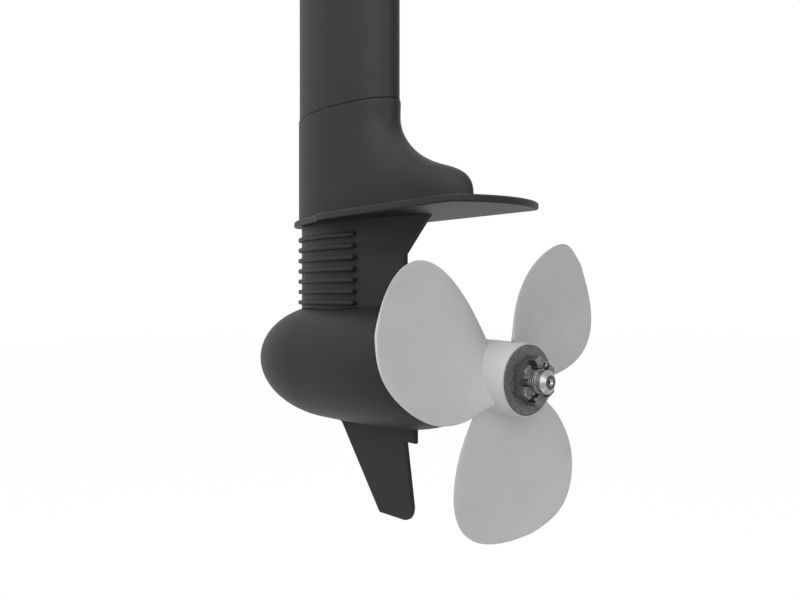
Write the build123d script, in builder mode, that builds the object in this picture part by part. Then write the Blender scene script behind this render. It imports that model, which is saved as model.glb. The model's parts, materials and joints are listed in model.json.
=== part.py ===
from build123d import *
from math import atan2, cos, pi, radians, sin, sqrt
import os

# Electric outboard motor, hung on a boat's transom. Millimetres, +Z up, +Y aft, +X to port.
# The origin is the middle of the transom's top edge, at its aft face.

os.makedirs("parts", exist_ok=True)

# Clearances
RUNNING = 0.05          # radial, shaft in a bearing or a bush
SLIP = 0.1              # radial, pins and screws in their holes
SEAT = 0.3              # between pieces that move past each other
NEST = 0.2              # around pieces that are slid into a bore and stay there
CUT_REACH = 400.0       # of a cut that has to pass right through a piece

# Where the lower unit hangs
TRANSOM_HEIGHT = 508.0      # top of the transom down to the underside of the cavitation plate
PLATE_ABOVE_SHAFT = 142.2   # underside of the plate above the propeller shaft
SHAFT_Z = -TRANSOM_HEIGHT - PLATE_ABOVE_SHAFT
SHAFT_AXIS = Axis((0, 0, SHAFT_Z), (0, 1, 0))

# Steering and tilt
STEER_Y = 64.0              # kingpin behind the transom's aft face
KINGPIN_R = 12.0
SWIVEL_TUBE_R = 27.0
SWIVEL_TOP = 40.0
SWIVEL_BOTTOM = -186.0
TILT_Y = -8.0
TILT_Z = 30.0
TILT_TUBE_R = 11.0
TILT_TUBE_BORE_R = 7.0
TILT_NUT = 8.0
TILT_NUT_R = 17.0
TILT_TUBE_END = 12.0        # beyond each bracket

# Leg
LEG_DEEP = 158.5            # fore and aft
LEG_THICK = 55.5
LEG_WALL = 4.0
LEG_GAP = 9.0               # between the swivel tube and the leg's front edge
LEG_Y = STEER_Y + SWIVEL_TUBE_R + LEG_GAP + LEG_DEEP / 2
LEG_SEAM_HEIGHT = 257.2     # above the propeller shaft
LEG_SEAM_Z = SHAFT_Z + LEG_SEAM_HEIGHT
LEG_TOP_Z = 95.0

# Propeller face, from which the lower unit is measured forwards
LEG_TO_PROP = 247.4
PROP_Y = LEG_Y + LEG_TO_PROP

# Cavitation plate
PLATE_THICK = 6.3
PLATE_HALF_WIDTH = 52.8
PLATE_SHOULDER_HALF = 42.6
PLATE_FRONT_Y = PROP_Y - 333.6
PLATE_BROW_Y = PROP_Y - 324.0
PLATE_BROW_HALF = 16.0
PLATE_SHOULDER_Y = PROP_Y - 243.0
PLATE_WIDE_Y = PROP_Y - 140.0
PLATE_TAIL_Y = PROP_Y - 16.0
PLATE_TAIL_BOW = 18.0
PLATE_CORNER_R = 12.0
PLATE_EDGE = 1.2
PLATE_Z = SHAFT_Z + PLATE_ABOVE_SHAFT

# Strut between the plate and the pod
STRUT_NOSE = 76.0           # from the widest place to the leading edge
STRUT_HALF = 26.0
STRUT_TAIL_HALF = 2.2
STRUT_TAIL_Y = PROP_Y - 114.0
STRUT_TAIL_LEAN = 38.0      # how far the trailing edge runs forward over STRUT_TAIL_DROP
STRUT_TAIL_DROP = 35.0      # under the plate, before it runs straight down to the pod
STRUT_TAIL_FULLNESS = 1.3   # of the sides where they meet the tail

# Ribs round the strut's leading edge
RIB_COUNT = 7
RIB_PITCH = 11.2
RIB_THICK = 4.7
RIB_PROUD = 4.2
RIB_LOW_Z = SHAFT_Z + 61.0
RIB_END_Y = PROP_Y - 203.0
RIB_END_R = 3.5
RIB_EDGE = 1.6

# Motor pod
POD_R = 60.3
POD_NOSE_Y = PROP_Y - 385.0
POD_WIDE_Y = PROP_Y - 268.0
POD_SEAM_Y = PROP_Y - 152.0
POD_TAIL_Y = PROP_Y - 64.0
POD_TAIL_R = 30.0
POD_BORE_R = 52.0
POD_FRONT_BORE_R = 48.0     # in front of the stator's shoulder
POD_BORE_FRONT_Y = PROP_Y - 312.0
# Share of the way to the tail, and share of the greatest radius there
POD_SIDE = ((0.55, 0.967), (0.82, 0.82))
POD_TAIL_SLOPE = -0.85

# Fin
FIN_THICK = 5.6
FIN_EDGE = 1.2
FIN_GAP = 0.15
FIN_SLOT_DEPTH = 5.0        # ceiling of the slot below the pod's greatest radius
FIN_NECK = 4.0
FIN_TEE = 8.0
FIN_TEE_THICK = 2.5
FIN_FRONT_Y = PROP_Y - 256.0
FIN_RAIL_REAR_Y = PROP_Y - 136.6
FIN_RAIL_LOW = 70.0         # below the shaft
FIN_REAR_TOP_Y = PROP_Y - 151.2
FIN_DEPTH = 144.2
FIN_TOE_Y = PROP_Y - 190.3
FIN_HEEL_Y = PROP_Y - 138.4
FIN_TOE_R = 13.0
FIN_HEEL_R = 8.0

# Motor
STATOR_FRONT_Y = PROP_Y - 284.0
STATOR_LENGTH = 80.0
STATOR_BORE_R = 36.0
STATOR_SLOTS = 12
SLOT_WIDTH = 7.0
SLOT_MOUTH = 2.4
SLOT_INNER_R = 38.0
SLOT_OUTER_R = 47.0
COIL_END = 14.0
COIL_INNER_R = 37.5
COIL_OUTER_R = 45.0
ROTOR_R = 35.2
MAGNET_THICK = 3.5
MAGNET_COUNT = 10
MAGNET_SHARE = 0.8          # of the rotor's edge that the magnets cover
SHAFT_ROTOR_R = 14.0
SHAFT_FLANGE_R = 17.0
SHAFT_FLANGE = 2.0
SHAFT_FREE = 1.0            # axial room between the shaft's shoulders and the bearings
SHAFT_BEARING_R = 10.0
SHAFT_HUB_R = 9.5
SHAFT_END_Y = PROP_Y + 23.2
SHAFT_END_CHAMFER = 3.2
SHAFT_END_R = 5.4
CENTRE_DRILL_R = 3.1
CENTRE_DRILL_NECK_R = 1.4
CENTRE_DRILL_DEPTH = 6.0
BEARING_R = 21.0
BEARING_WIDTH = 12.0
SEAL_R = 17.5
SEAL_WIDTH = 7.0
SEAL_COUNT = 2
TAIL_SPIGOT = 10.0
RING_SEAL_R = 1.5
TAIL_BOSS_R = 27.0
TAIL_CAVITY_R = 44.0
TAIL_CAVITY_REAR_Y = PROP_Y - 104.0
TAIL_CAVITY_SLOPE_Y = PROP_Y - 122.0
SPANNER_HOLE_R = 2.5
SPANNER_HOLE_CIRCLE = 24.0
SPANNER_HOLE_DEPTH = 6.0

# Propeller
PROP_R = 138.6
HUB_FRONT_R = 31.5
HUB_REAR_R = 29.7
HUB_LENGTH = 60.0
HUB_EDGE = 1.0
BLADE_COUNT = 3
BLADE_FIRST_ANGLE = -75.5   # clockwise from straight up, seen from behind
BLADE_ROOT = 20.2           # height of the first section, inside the hub
BLADE_SECTIONS = 10
BLADE_LAST_SECTION = 88.0   # degrees of the quarter turn that spaces the sections
BLADE_ROOT_THICK = 9.0
BLADE_TIP_THICK = 2.8
BLADE_POINTS = 10           # round each section
# Blade shape as power series in the share of the span, root 0 to tip 1
BLADE_HALF_CHORD = (30.16, 93.22, 0.82, -82.93, 65.10)
BLADE_SKEW = (1.89, 14.77, -29.11, 89.06, -72.06)
BLADE_PITCH = (56.81, 54.08, 70.90)
BLADE_AXIAL = (-25.19, -17.40, 16.43)
BLADE_BOW = (0.00126, 0.00086)
COLLAR_THICK = 3.0
COLLAR_R = 20.0
DRIVE_PIN_R = 3.0
DRIVE_PIN_HALF = 19.0
DRIVE_PIN_Y = PROP_Y - 55.0
WASHER_R = 28.3
WASHER_THICK = 3.0
NUT_ACROSS_FLATS = 35.0
NUT_THICK = 12.8
NUT_SLOT_WIDTH = 6.6
NUT_SLOT_DEPTH = 6.4
NUT_CROWN_BORE_R = 10.6
NUT_CHAMFER = 1.0
COTTER_R = 1.5
COTTER_ANGLE = 30.0         # from straight up towards starboard
COTTER_Y = PROP_Y + 10.2
COTTER_REACH = 14.0
COTTER_LEG = 4.5
COTTER_LEG_LEAN = 0.3
COTTER_EYE_REACH = 12.5
COTTER_EYE_R = 2.0

# Cable and tie rods, side by side inside the leg
CABLE_R = 6.0
CABLE_CHANNEL_R = 9.0
CABLE_Y = LEG_Y - 52.0
TIE_ROD_R = 4.0
TIE_ROD_Y = (LEG_Y - 20.0, LEG_Y + 45.0)
TIE_ROD_LOW_Z = SHAFT_Z + 100.0
TIE_ROD_END = 12.0          # above the head's floor
TIE_NUT_R = 7.0
TIE_NUT = 7.0

# Fairing between the leg and the plate
FAIRING_PROUD = 1.0
FAIRING_SPIGOT = 45.0
FAIRING_CAVITY_DEEP = 68.0
FAIRING_CAVITY_HALF = 19.0
FAIRING_CAVITY_LOW_Z = SHAFT_Z + 162.0
# Height above the shaft, and length of the rear half there
FAIRING_BACK = (
    (LEG_SEAM_HEIGHT, 80.0),
    (242.2, 80.2),
    (228.2, 83.5),
    (213.2, 95.0),
    (200.2, 112.0),
    (191.2, 130.5),
    (184.2, 151.5),
    (177.7, 168.5),
    (170.2, 178.5),
    (161.2, 183.0),
    (PLATE_ABOVE_SHAFT + PLATE_THICK, 185.0),
)

# Clamp brackets
BRACKET_INNER_X = 56.0
BRACKET_WEB = 10.0
BRACKET_FLANGE_X = 88.0
BRACKET_FLANGE = 9.0
BRACKET_LOW_Z = -190.0
BRACKET_AFT_Y = 46.0
BRACKET_LOBE_Y = 77.0       # round the tilt pin's holes
BRACKET_LOBE_Z = -120.0
BRACKET_ARM_FRONT_Y = -106.0
BRACKET_ARM_BACK_Y = -84.0
BRACKET_ARM_LOW_Z = -88.0
BRACKET_CAP = 12.0          # thickness of the hook above the transom
BRACKET_BOSS_R = 21.0
BRACKET_CORNER_R = 14.0
BRACKET_BOLT_X = 77.0
BRACKET_BOLT_R = 4.5
BRACKET_BOLT_HIGH_Z = -40.0
BRACKET_BOLT_LOW_Z = -160.0
PIN_HOLE_Y = 31.7
PIN_HOLE_Z = -150.0
PIN_HOLE_COUNT = 3
PIN_HOLE_STEP = 5.0         # degrees round the tilt tube from one hole to the next
TILT_PIN_R = 5.0
TILT_PIN_END = 12.0         # beyond the brackets
TILT_PIN_HEAD_R = 9.0
TILT_PIN_HEAD = 8.0
CLAMP_X = BRACKET_INNER_X + BRACKET_WEB / 2
CLAMP_Z = -62.0
CLAMP_SCREW_R = 8.0
CLAMP_BOSS_R = 17.0
CLAMP_BOSS_PROUD = 6.0
CLAMP_PAD_R = 21.0
CLAMP_PAD_THICK = 10.0
CLAMP_PAD_Y = -49.0         # face of the pads, at the inside of the transom
CLAMP_TIP = 6.0             # of the screw inside the pad
CLAMP_SCREW_FRONT_Y = -160.0
CLAMP_BAR_R = 4.5
CLAMP_BAR_HALF = 34.0
CLAMP_BAR_END_R = 6.3
CLAMP_HEAD_R = 11.0
CLAMP_HEAD = 18.0

# Swivel bracket
SWIVEL_EYE_X = BRACKET_INNER_X - SEAT
SWIVEL_EYE_INNER_X = 38.0
SWIVEL_EYE_R = 19.0
SWIVEL_BORE_R = 15.0
SWIVEL_GUSSET_Z = -60.0
SWIVEL_ARM_FRONT_Y = 10.0
BUSH_FLANGE = 3.0
BUSH_FLANGE_R = 21.0
BUSH_LENGTH = 30.0
KNOB_Z = -100.0
KNOB_R = 14.0
KNOB_SCREW_R = 4.0
KNOB_THICK = 16.0
KNOB_X = 36.0
KNOB_BOSS_R = 9.0
KNOB_FLUTES = 8
KNOB_FLUTE_R = 3.0
SWIVEL_ARM_X = 48.0
SWIVEL_FORK_Y = 42.0        # where the fork's two arms join

# Yokes
YOKE_HEIGHT = 32.0
YOKE_WALL = 9.0
YOKE_BOSS_R = 24.0
YOKE_NECK_WIDTH = 0.75      # share of the ring, where the web from the boss meets it
YOKE_NECK_DEPTH = 0.65
YOKE_SPLIT_Y = LEG_Y + 20.0
YOKE_SPLIT_GAP = 2.0
YOKE_LUG_WIDTH = 16.0
YOKE_LUG_DEEP = 12.0
YOKE_BOLT_R = 4.0
YOKE_BOLT_HEAD_R = 6.5
YOKE_BOLT_HEAD = 5.3
UPPER_YOKE_Z = SWIVEL_TOP + BUSH_FLANGE + SEAT
LOWER_YOKE_Z = SWIVEL_BOTTOM - BUSH_FLANGE - SEAT - YOKE_HEIGHT
KINGPIN_HEAD = 6.0
KINGPIN_HEAD_R = 17.0
KINGPIN_NUT = 10.0
KINGPIN_NUT_R = 17.0
KINGPIN_END = 3.0

# Head
HEAD_Y = LEG_Y - 4.0
HEAD_LENGTH = 282.0
HEAD_FRONT_Y = HEAD_Y - HEAD_LENGTH / 2
HEAD_WIDTH = 156.0
HEAD_CORNER_R = 70.0
HEAD_BASE_Z = 95.0
HEAD_SPLIT_Z = 122.0
HEAD_TOP_Z = 214.0
HEAD_TAPER = 4.0            # degrees that the cover's sides lean in
HEAD_WALL = 3.5
HEAD_FLOOR = 6.0
HEAD_BASE_CHAMFER = 5.0
HEAD_COLLAR = 14.0
HEAD_COLLAR_WALL = 6.0
HEAD_SEAL = 1.5
HEAD_EDGE_R = 22.0
COVER_SCREW_R = 2.5
COVER_BOSS_R = 6.0
COVER_SCREW_LENGTH = 22.0
COVER_SCREW_HEAD_R = 4.2
COVER_SCREW_HEAD = 4.0
COVER_SCREW_X = 48.0
COVER_SCREW_Y = 92.0        # before and behind the head's middle
CONTROLLER_LENGTH = 150.0
CONTROLLER_WIDTH = 92.0
CONTROLLER_HEIGHT = 38.0
CONTROLLER_Z = 116.0
CONTROLLER_RIBS = 7
CONTROLLER_RIB_DEPTH = 8.0
CONTROLLER_POST_X = 36.0
CONTROLLER_POST_Y = 60.0
HANDLE_R = 8.0
HANDLE_HEIGHT = 34.0
HANDLE_LENGTH = 120.0
HANDLE_BEND_R = 20.0
HANDLE_FOOT_R = 13.0
HANDLE_FOOT = 4.0

# Battery socket on the head's rear
SOCKET_R = 19.0
SOCKET_BORE_R = 14.0
SOCKET_DEPTH = 16.0
SOCKET_FLANGE = 4.0
SOCKET_FLANGE_R = 23.0
SOCKET_CONTACT_R = 3.0
SOCKET_CONTACT_X = 6.0
SOCKET_CONTACT_DEPTH = 9.0
SOCKET_LENGTH = 30.0
SOCKET_PAD_R = 27.0
SOCKET_FACE_Y = HEAD_Y + HEAD_LENGTH / 2 + 2.0
SOCKET_Z = 165.0

# Tiller
TILLER_PAD_PROUD = 6.25
TILLER_PAD_Y = HEAD_FRONT_Y - TILLER_PAD_PROUD
TILLER_PIVOT_Y = TILLER_PAD_Y - 22.0
TILLER_PIVOT_Z = 150.0
TILLER_PIN_R = 6.0
TILLER_PIN_HEAD_R = 9.6
TILLER_EAR = 8.0
TILLER_EAR_R = 17.0
TILLER_HALF = 15.0
TILLER_PAD_HALF = 24.0
TILLER_PLATE = 8.0
TILLER_PLATE_LOW_Z = 98.0
TILLER_PLATE_TOP_Z = 120.0
TILLER_STOP_FRONT_Y = TILLER_PIVOT_Y - 16.0
TILLER_ARM_FRONT_Y = TILLER_PIVOT_Y - 166.0
TILLER_ARM_HALF_HIGH = 14.0
TILLER_TUBE_R = 11.0
TILLER_TUBE_BORE_R = 8.8
TILLER_TUBE_REAR_Y = TILLER_PIVOT_Y - 131.0
TILLER_TUBE_END_Y = TILLER_PIVOT_Y - 421.0
DISPLAY_LENGTH = 72.0
DISPLAY_Y = TILLER_PIVOT_Y - 106.0
DISPLAY_THICK = 10.0
WINDOW_LENGTH = 40.0
WINDOW_WIDTH = 22.0
WINDOW_THICK = 1.6
WINDOW_Y = TILLER_PIVOT_Y - 116.0
BUTTON_R = 5.0
BUTTON_Y = TILLER_PIVOT_Y - 82.0
BUTTON_HEIGHT = 5.0
BUTTON_PROUD = 2.5
KEY_Y = TILLER_PIVOT_Y - 154.0
KEY_STEM_R = 3.0
KEY_STEM = 14.0
KEY_R = 9.0
KEY_THICK = 4.0
GRIP_R = 18.0
GRIP_FRONT_Y = TILLER_PIVOT_Y - 431.0
GRIP_REAR_Y = TILLER_PIVOT_Y - 311.0
GRIP_FLUTES = 12
GRIP_FLUTE_R = 2.2


def across_shaft(station):
    """Plane across the propeller shaft at a station along it, seen from behind."""
    return Plane(origin=(0, station, SHAFT_Z), x_dir=(-1, 0, 0), z_dir=(0, 1, 0))


def turned(*corners):
    """Half section of a piece turned about the propeller shaft, from (station, radius) corners."""
    with BuildSketch(Plane.YZ) as section:
        with BuildLine():
            Polyline(*[(station, SHAFT_Z + radius) for station, radius in corners], close=True)
        make_face()
    return section.sketch


def pod_half_section(grow=0.0):
    """Half section of the motor pod, nose to tail."""
    span = POD_TAIL_Y - POD_WIDE_Y
    wide = POD_R + grow
    tail = POD_TAIL_R + grow
    with BuildSketch(Plane.YZ) as section:
        with BuildLine():
            EllipticalCenterArc(
                (POD_WIDE_Y, SHAFT_Z), POD_WIDE_Y - POD_NOSE_Y, wide, 90, arc_size=90
            )
            Spline(
                (POD_WIDE_Y, SHAFT_Z + wide),
                *[(POD_WIDE_Y + way * span, SHAFT_Z + share * wide) for way, share in POD_SIDE],
                (POD_TAIL_Y, SHAFT_Z + tail),
                tangents=((1, 0), (1, POD_TAIL_SLOPE)),
            )
            Line((POD_TAIL_Y, SHAFT_Z + tail), (POD_TAIL_Y, SHAFT_Z))
            Line((POD_TAIL_Y, SHAFT_Z), (POD_NOSE_Y, SHAFT_Z))
        make_face()
    return section.sketch


def strut_plan(proud=0.0, tail_y=STRUT_TAIL_Y):
    """Plan of the strut: round nose, sides that draw in to a blunt tail."""
    lean = (STRUT_HALF - STRUT_TAIL_HALF) / (tail_y - LEG_Y)
    with BuildSketch() as plan:
        with BuildLine():
            half = STRUT_HALF + proud
            tail_half = STRUT_TAIL_HALF + proud
            EllipticalCenterArc((0, LEG_Y), half, STRUT_NOSE + proud, 180, arc_size=180)
            for side in (1, -1):
                Spline(
                    (side * half, LEG_Y),
                    (side * tail_half, tail_y),
                    tangents=((0, 1), (-side * lean * STRUT_TAIL_FULLNESS, 1)),
                )
            Line((tail_half, tail_y), (-tail_half, tail_y))
        make_face()
    return plan.sketch


# Ribs, one above the other
rib_blank = strut_plan(RIB_PROUD)
with BuildPart() as ribs:
    for index in range(RIB_COUNT):
        rib_z = RIB_LOW_Z + index * RIB_PITCH - RIB_THICK / 2
        with BuildSketch(Plane.XY.offset(rib_z)) as rib_plan:
            add(rib_blank)
            with Locations((0, RIB_END_Y)):
                Rectangle(CUT_REACH, CUT_REACH, align=(Align.CENTER, Align.MIN), mode=Mode.SUBTRACT)
            fillet(rib_plan.vertices().group_by(Axis.Y)[-1], RIB_END_R)
        extrude(amount=RIB_THICK)
    fillet(ribs.edges().filter_by(Axis.Z, reverse=True), RIB_EDGE)

# Strut, its trailing edge leaning forward under the plate and then upright
short_strut = strut_plan(tail_y=STRUT_TAIL_Y - STRUT_TAIL_LEAN)
with BuildPart() as strut:
    with BuildSketch(Plane.XY.offset(SHAFT_Z)):
        add(short_strut)
    extrude(amount=PLATE_ABOVE_SHAFT - STRUT_TAIL_DROP)
    with BuildSketch(Plane.XY.offset(PLATE_Z - STRUT_TAIL_DROP)):
        add(short_strut)
    with BuildSketch(Plane.XY.offset(PLATE_Z + PLATE_THICK / 2)):
        add(strut_plan())
    loft()

# Lower housing: cavitation plate, ribbed strut and the front of the pod in one casting
pod_section = pod_half_section()
front_bearing_y = POD_BORE_FRONT_Y - BEARING_WIDTH
slot_z = SHAFT_Z - POD_R + FIN_SLOT_DEPTH
with BuildPart() as lower_housing:
    with BuildSketch(Plane.XY.offset(PLATE_Z)) as plate_plan:
        with BuildLine():
            corner_y = PLATE_TAIL_Y - PLATE_TAIL_BOW
            for side in (1, -1):
                Spline(
                    (0, PLATE_FRONT_Y),
                    (side * PLATE_BROW_HALF, PLATE_BROW_Y),
                    (side * PLATE_SHOULDER_HALF, PLATE_SHOULDER_Y),
                    (side * PLATE_HALF_WIDTH, PLATE_WIDE_Y),
                    tangents=((side, 0), (0, 1)),
                )
                Line((side * PLATE_HALF_WIDTH, PLATE_WIDE_Y), (side * PLATE_HALF_WIDTH, corner_y))
            ThreePointArc(
                (PLATE_HALF_WIDTH, corner_y), (0, PLATE_TAIL_Y), (-PLATE_HALF_WIDTH, corner_y)
            )
        make_face()
        fillet(plate_plan.vertices().group_by(Axis.Y)[-1], PLATE_CORNER_R)
    extrude(amount=PLATE_THICK)
    chamfer(lower_housing.edges().filter_by(Axis.Z, reverse=True), PLATE_EDGE)
    add(strut.part)
    add(ribs.part)
    revolve(pod_section, axis=SHAFT_AXIS)
    # bearing seat, front bore, stator bore, and room behind the seam for the tail cap
    for station, radius, length in (
        (front_bearing_y, BEARING_R + RUNNING, BEARING_WIDTH),
        (POD_BORE_FRONT_Y, POD_FRONT_BORE_R, STATOR_FRONT_Y - POD_BORE_FRONT_Y),
        (STATOR_FRONT_Y, POD_BORE_R, POD_SEAM_Y - STATOR_FRONT_Y),
        (POD_SEAM_Y, POD_R + RIB_PROUD, POD_TAIL_Y - POD_SEAM_Y + RIB_PROUD),
    ):
        with BuildSketch(across_shaft(station)):
            Circle(radius)
        extrude(amount=length, mode=Mode.SUBTRACT)
    # cable channel up through the strut and the plate
    with BuildSketch(Plane.XY.offset(SHAFT_Z)):
        with Locations((0, CABLE_Y)):
            Circle(CABLE_CHANNEL_R)
    extrude(amount=PLATE_ABOVE_SHAFT + PLATE_THICK, mode=Mode.SUBTRACT)
    # blind holes for the tie rods
    with BuildSketch(Plane.XY.offset(TIE_ROD_LOW_Z)):
        for rod_y in TIE_ROD_Y:
            with Locations((0, rod_y)):
                Circle(TIE_ROD_R + SLIP)
    extrude(amount=PLATE_Z + PLATE_THICK - TIE_ROD_LOW_Z, mode=Mode.SUBTRACT)
    # T slot for the fin, open at the seam
    with BuildSketch(Plane.XZ.offset(-POD_SEAM_Y)):
        with Locations((0, slot_z)):
            Rectangle(FIN_TEE + 2 * SLIP, FIN_TEE_THICK + SLIP, align=(Align.CENTER, Align.MAX))
            Rectangle(FIN_NECK + 2 * SLIP, 4 * FIN_TEE_THICK, align=(Align.CENTER, Align.MAX))
    extrude(amount=POD_SEAM_Y - FIN_FRONT_Y, mode=Mode.SUBTRACT)

lower_housing.part.label = "lower_housing"
export_step(lower_housing.part, "parts/lower_housing.step")

# Tail cap: closes the pod, seats the rear bearing and the shaft seal
rear_bearing_y = POD_SEAM_Y - TAIL_SPIGOT
seal_y = POD_TAIL_Y - SEAL_COUNT * SEAL_WIDTH
ring_seal_y = POD_SEAM_Y - TAIL_SPIGOT / 2
with BuildPart() as tail_cap:
    revolve(pod_section, axis=SHAFT_AXIS)
    split(bisect_by=across_shaft(POD_SEAM_Y), keep=Keep.TOP)
    with BuildSketch(across_shaft(POD_SEAM_Y)):
        Circle(POD_BORE_R - NEST)
    extrude(amount=-TAIL_SPIGOT)
    for station, radius, length in (
        (rear_bearing_y, BEARING_R + RUNNING, BEARING_WIDTH),
        (rear_bearing_y, SHAFT_BEARING_R + SEAT, POD_TAIL_Y - rear_bearing_y),
        (seal_y, SEAL_R + RUNNING, SEAL_COUNT * SEAL_WIDTH),
    ):
        with BuildSketch(across_shaft(station)):
            Circle(radius)
        extrude(amount=length, mode=Mode.SUBTRACT)
    # hollow round the bearing's boss
    revolve(
        turned(
            (rear_bearing_y, TAIL_BOSS_R),
            (TAIL_CAVITY_REAR_Y, TAIL_BOSS_R),
            (TAIL_CAVITY_SLOPE_Y, TAIL_CAVITY_R),
            (rear_bearing_y, TAIL_CAVITY_R),
        ),
        axis=SHAFT_AXIS,
        mode=Mode.SUBTRACT,
    )
    # groove for the ring seal in the spigot
    groove_r = POD_BORE_R - 2 * RING_SEAL_R - NEST
    revolve(
        turned(
            (ring_seal_y - RING_SEAL_R, POD_BORE_R),
            (ring_seal_y - RING_SEAL_R, groove_r),
            (ring_seal_y + RING_SEAL_R, groove_r),
            (ring_seal_y + RING_SEAL_R, POD_BORE_R),
        ),
        axis=SHAFT_AXIS,
        mode=Mode.SUBTRACT,
    )
    with BuildSketch(across_shaft(POD_TAIL_Y)):
        with PolarLocations(SPANNER_HOLE_CIRCLE, 2):
            Circle(SPANNER_HOLE_R)
    extrude(amount=-SPANNER_HOLE_DEPTH, mode=Mode.SUBTRACT)

tail_cap.part.label = "tail_cap"
export_step(tail_cap.part, "parts/tail_cap.step")

# Ring seal in the spigot's groove
with BuildPart() as ring_seal:
    with Locations(across_shaft(ring_seal_y)):
        Torus(POD_BORE_R - RING_SEAL_R - NEST / 2, RING_SEAL_R)

ring_seal.part.label = "ring_seal"
export_step(ring_seal.part, "parts/ring_seal.step")

# Fin, slid into its slot from behind and held there by the tail cap
with BuildPart() as fin:
    with BuildSketch(Plane.YZ) as fin_side:
        rail_z = SHAFT_Z - FIN_RAIL_LOW
        low_z = SHAFT_Z - FIN_DEPTH
        front_run = (FIN_TOE_Y - FIN_FRONT_Y) / (FIN_DEPTH - POD_R) * (POD_R - POD_TAIL_R)
        with BuildLine():
            Polyline(
                (FIN_FRONT_Y - front_run, SHAFT_Z - POD_TAIL_R),
                (FIN_TOE_Y, low_z),
                (FIN_HEEL_Y, low_z),
                (FIN_REAR_TOP_Y, rail_z),
                (FIN_RAIL_REAR_Y, rail_z),
                (FIN_RAIL_REAR_Y, SHAFT_Z - POD_TAIL_R),
                close=True,
            )
        make_face()
        fillet(fin_side.vertices().group_by(Axis.Z)[0].sort_by(Axis.Y)[0], FIN_TOE_R)
        fillet(fin_side.vertices().group_by(Axis.Z)[0].sort_by(Axis.Y)[-1], FIN_HEEL_R)
    extrude(amount=FIN_THICK / 2, both=True)
    chamfer(fin.edges().group_by(Axis.X)[0] + fin.edges().group_by(Axis.X)[-1], FIN_EDGE)
    revolve(pod_half_section(FIN_GAP), axis=SHAFT_AXIS, mode=Mode.SUBTRACT)
    with BuildSketch(Plane.XZ.offset(-POD_SEAM_Y + SLIP)):
        with Locations((0, slot_z)):
            Rectangle(FIN_TEE, FIN_TEE_THICK, align=(Align.CENTER, Align.MAX))
            Rectangle(FIN_NECK, FIN_SLOT_DEPTH + FIN_TEE_THICK, align=(Align.CENTER, Align.MAX))
    extrude(amount=POD_SEAM_Y - FIN_FRONT_Y - 2 * SLIP)

fin.part.label = "fin"
export_step(fin.part, "parts/fin.step")

# Stator: slotted core against its shoulder, with the windings through the slots
with BuildPart() as stator_core:
    with BuildSketch(across_shaft(STATOR_FRONT_Y)):
        Circle(POD_BORE_R - NEST)
        Circle(STATOR_BORE_R, mode=Mode.SUBTRACT)
        with PolarLocations(0, STATOR_SLOTS):
            with Locations((SLOT_INNER_R, 0)):
                Rectangle(
                    SLOT_OUTER_R - SLOT_INNER_R,
                    SLOT_WIDTH,
                    align=(Align.MIN, Align.CENTER),
                    mode=Mode.SUBTRACT,
                )
            with Locations((STATOR_BORE_R - SLOT_MOUTH, 0)):
                Rectangle(
                    SLOT_INNER_R - STATOR_BORE_R + SLOT_MOUTH,
                    SLOT_MOUTH,
                    align=(Align.MIN, Align.CENTER),
                    mode=Mode.SUBTRACT,
                )
    extrude(amount=STATOR_LENGTH)

stator_core.part.label = "stator_core"
export_step(stator_core.part, "parts/stator_core.step")

with BuildPart() as stator_windings:
    with BuildSketch(across_shaft(STATOR_FRONT_Y - COIL_END)):
        Circle(COIL_OUTER_R)
        Circle(COIL_INNER_R, mode=Mode.SUBTRACT)
    extrude(amount=COIL_END)
    with BuildSketch(across_shaft(STATOR_FRONT_Y + STATOR_LENGTH)):
        Circle(COIL_OUTER_R)
        Circle(COIL_INNER_R, mode=Mode.SUBTRACT)
    extrude(amount=COIL_END)
    with BuildSketch(across_shaft(STATOR_FRONT_Y)):
        with PolarLocations(0, STATOR_SLOTS):
            with Locations((SLOT_INNER_R + NEST, 0)):
                Rectangle(
                    COIL_OUTER_R - SLOT_INNER_R - 2 * NEST,
                    SLOT_WIDTH - 2 * NEST,
                    align=(Align.MIN, Align.CENTER),
                )
    extrude(amount=STATOR_LENGTH)

stator_windings.part.label = "stator_windings"
export_step(stator_windings.part, "parts/stator_windings.step")

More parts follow.
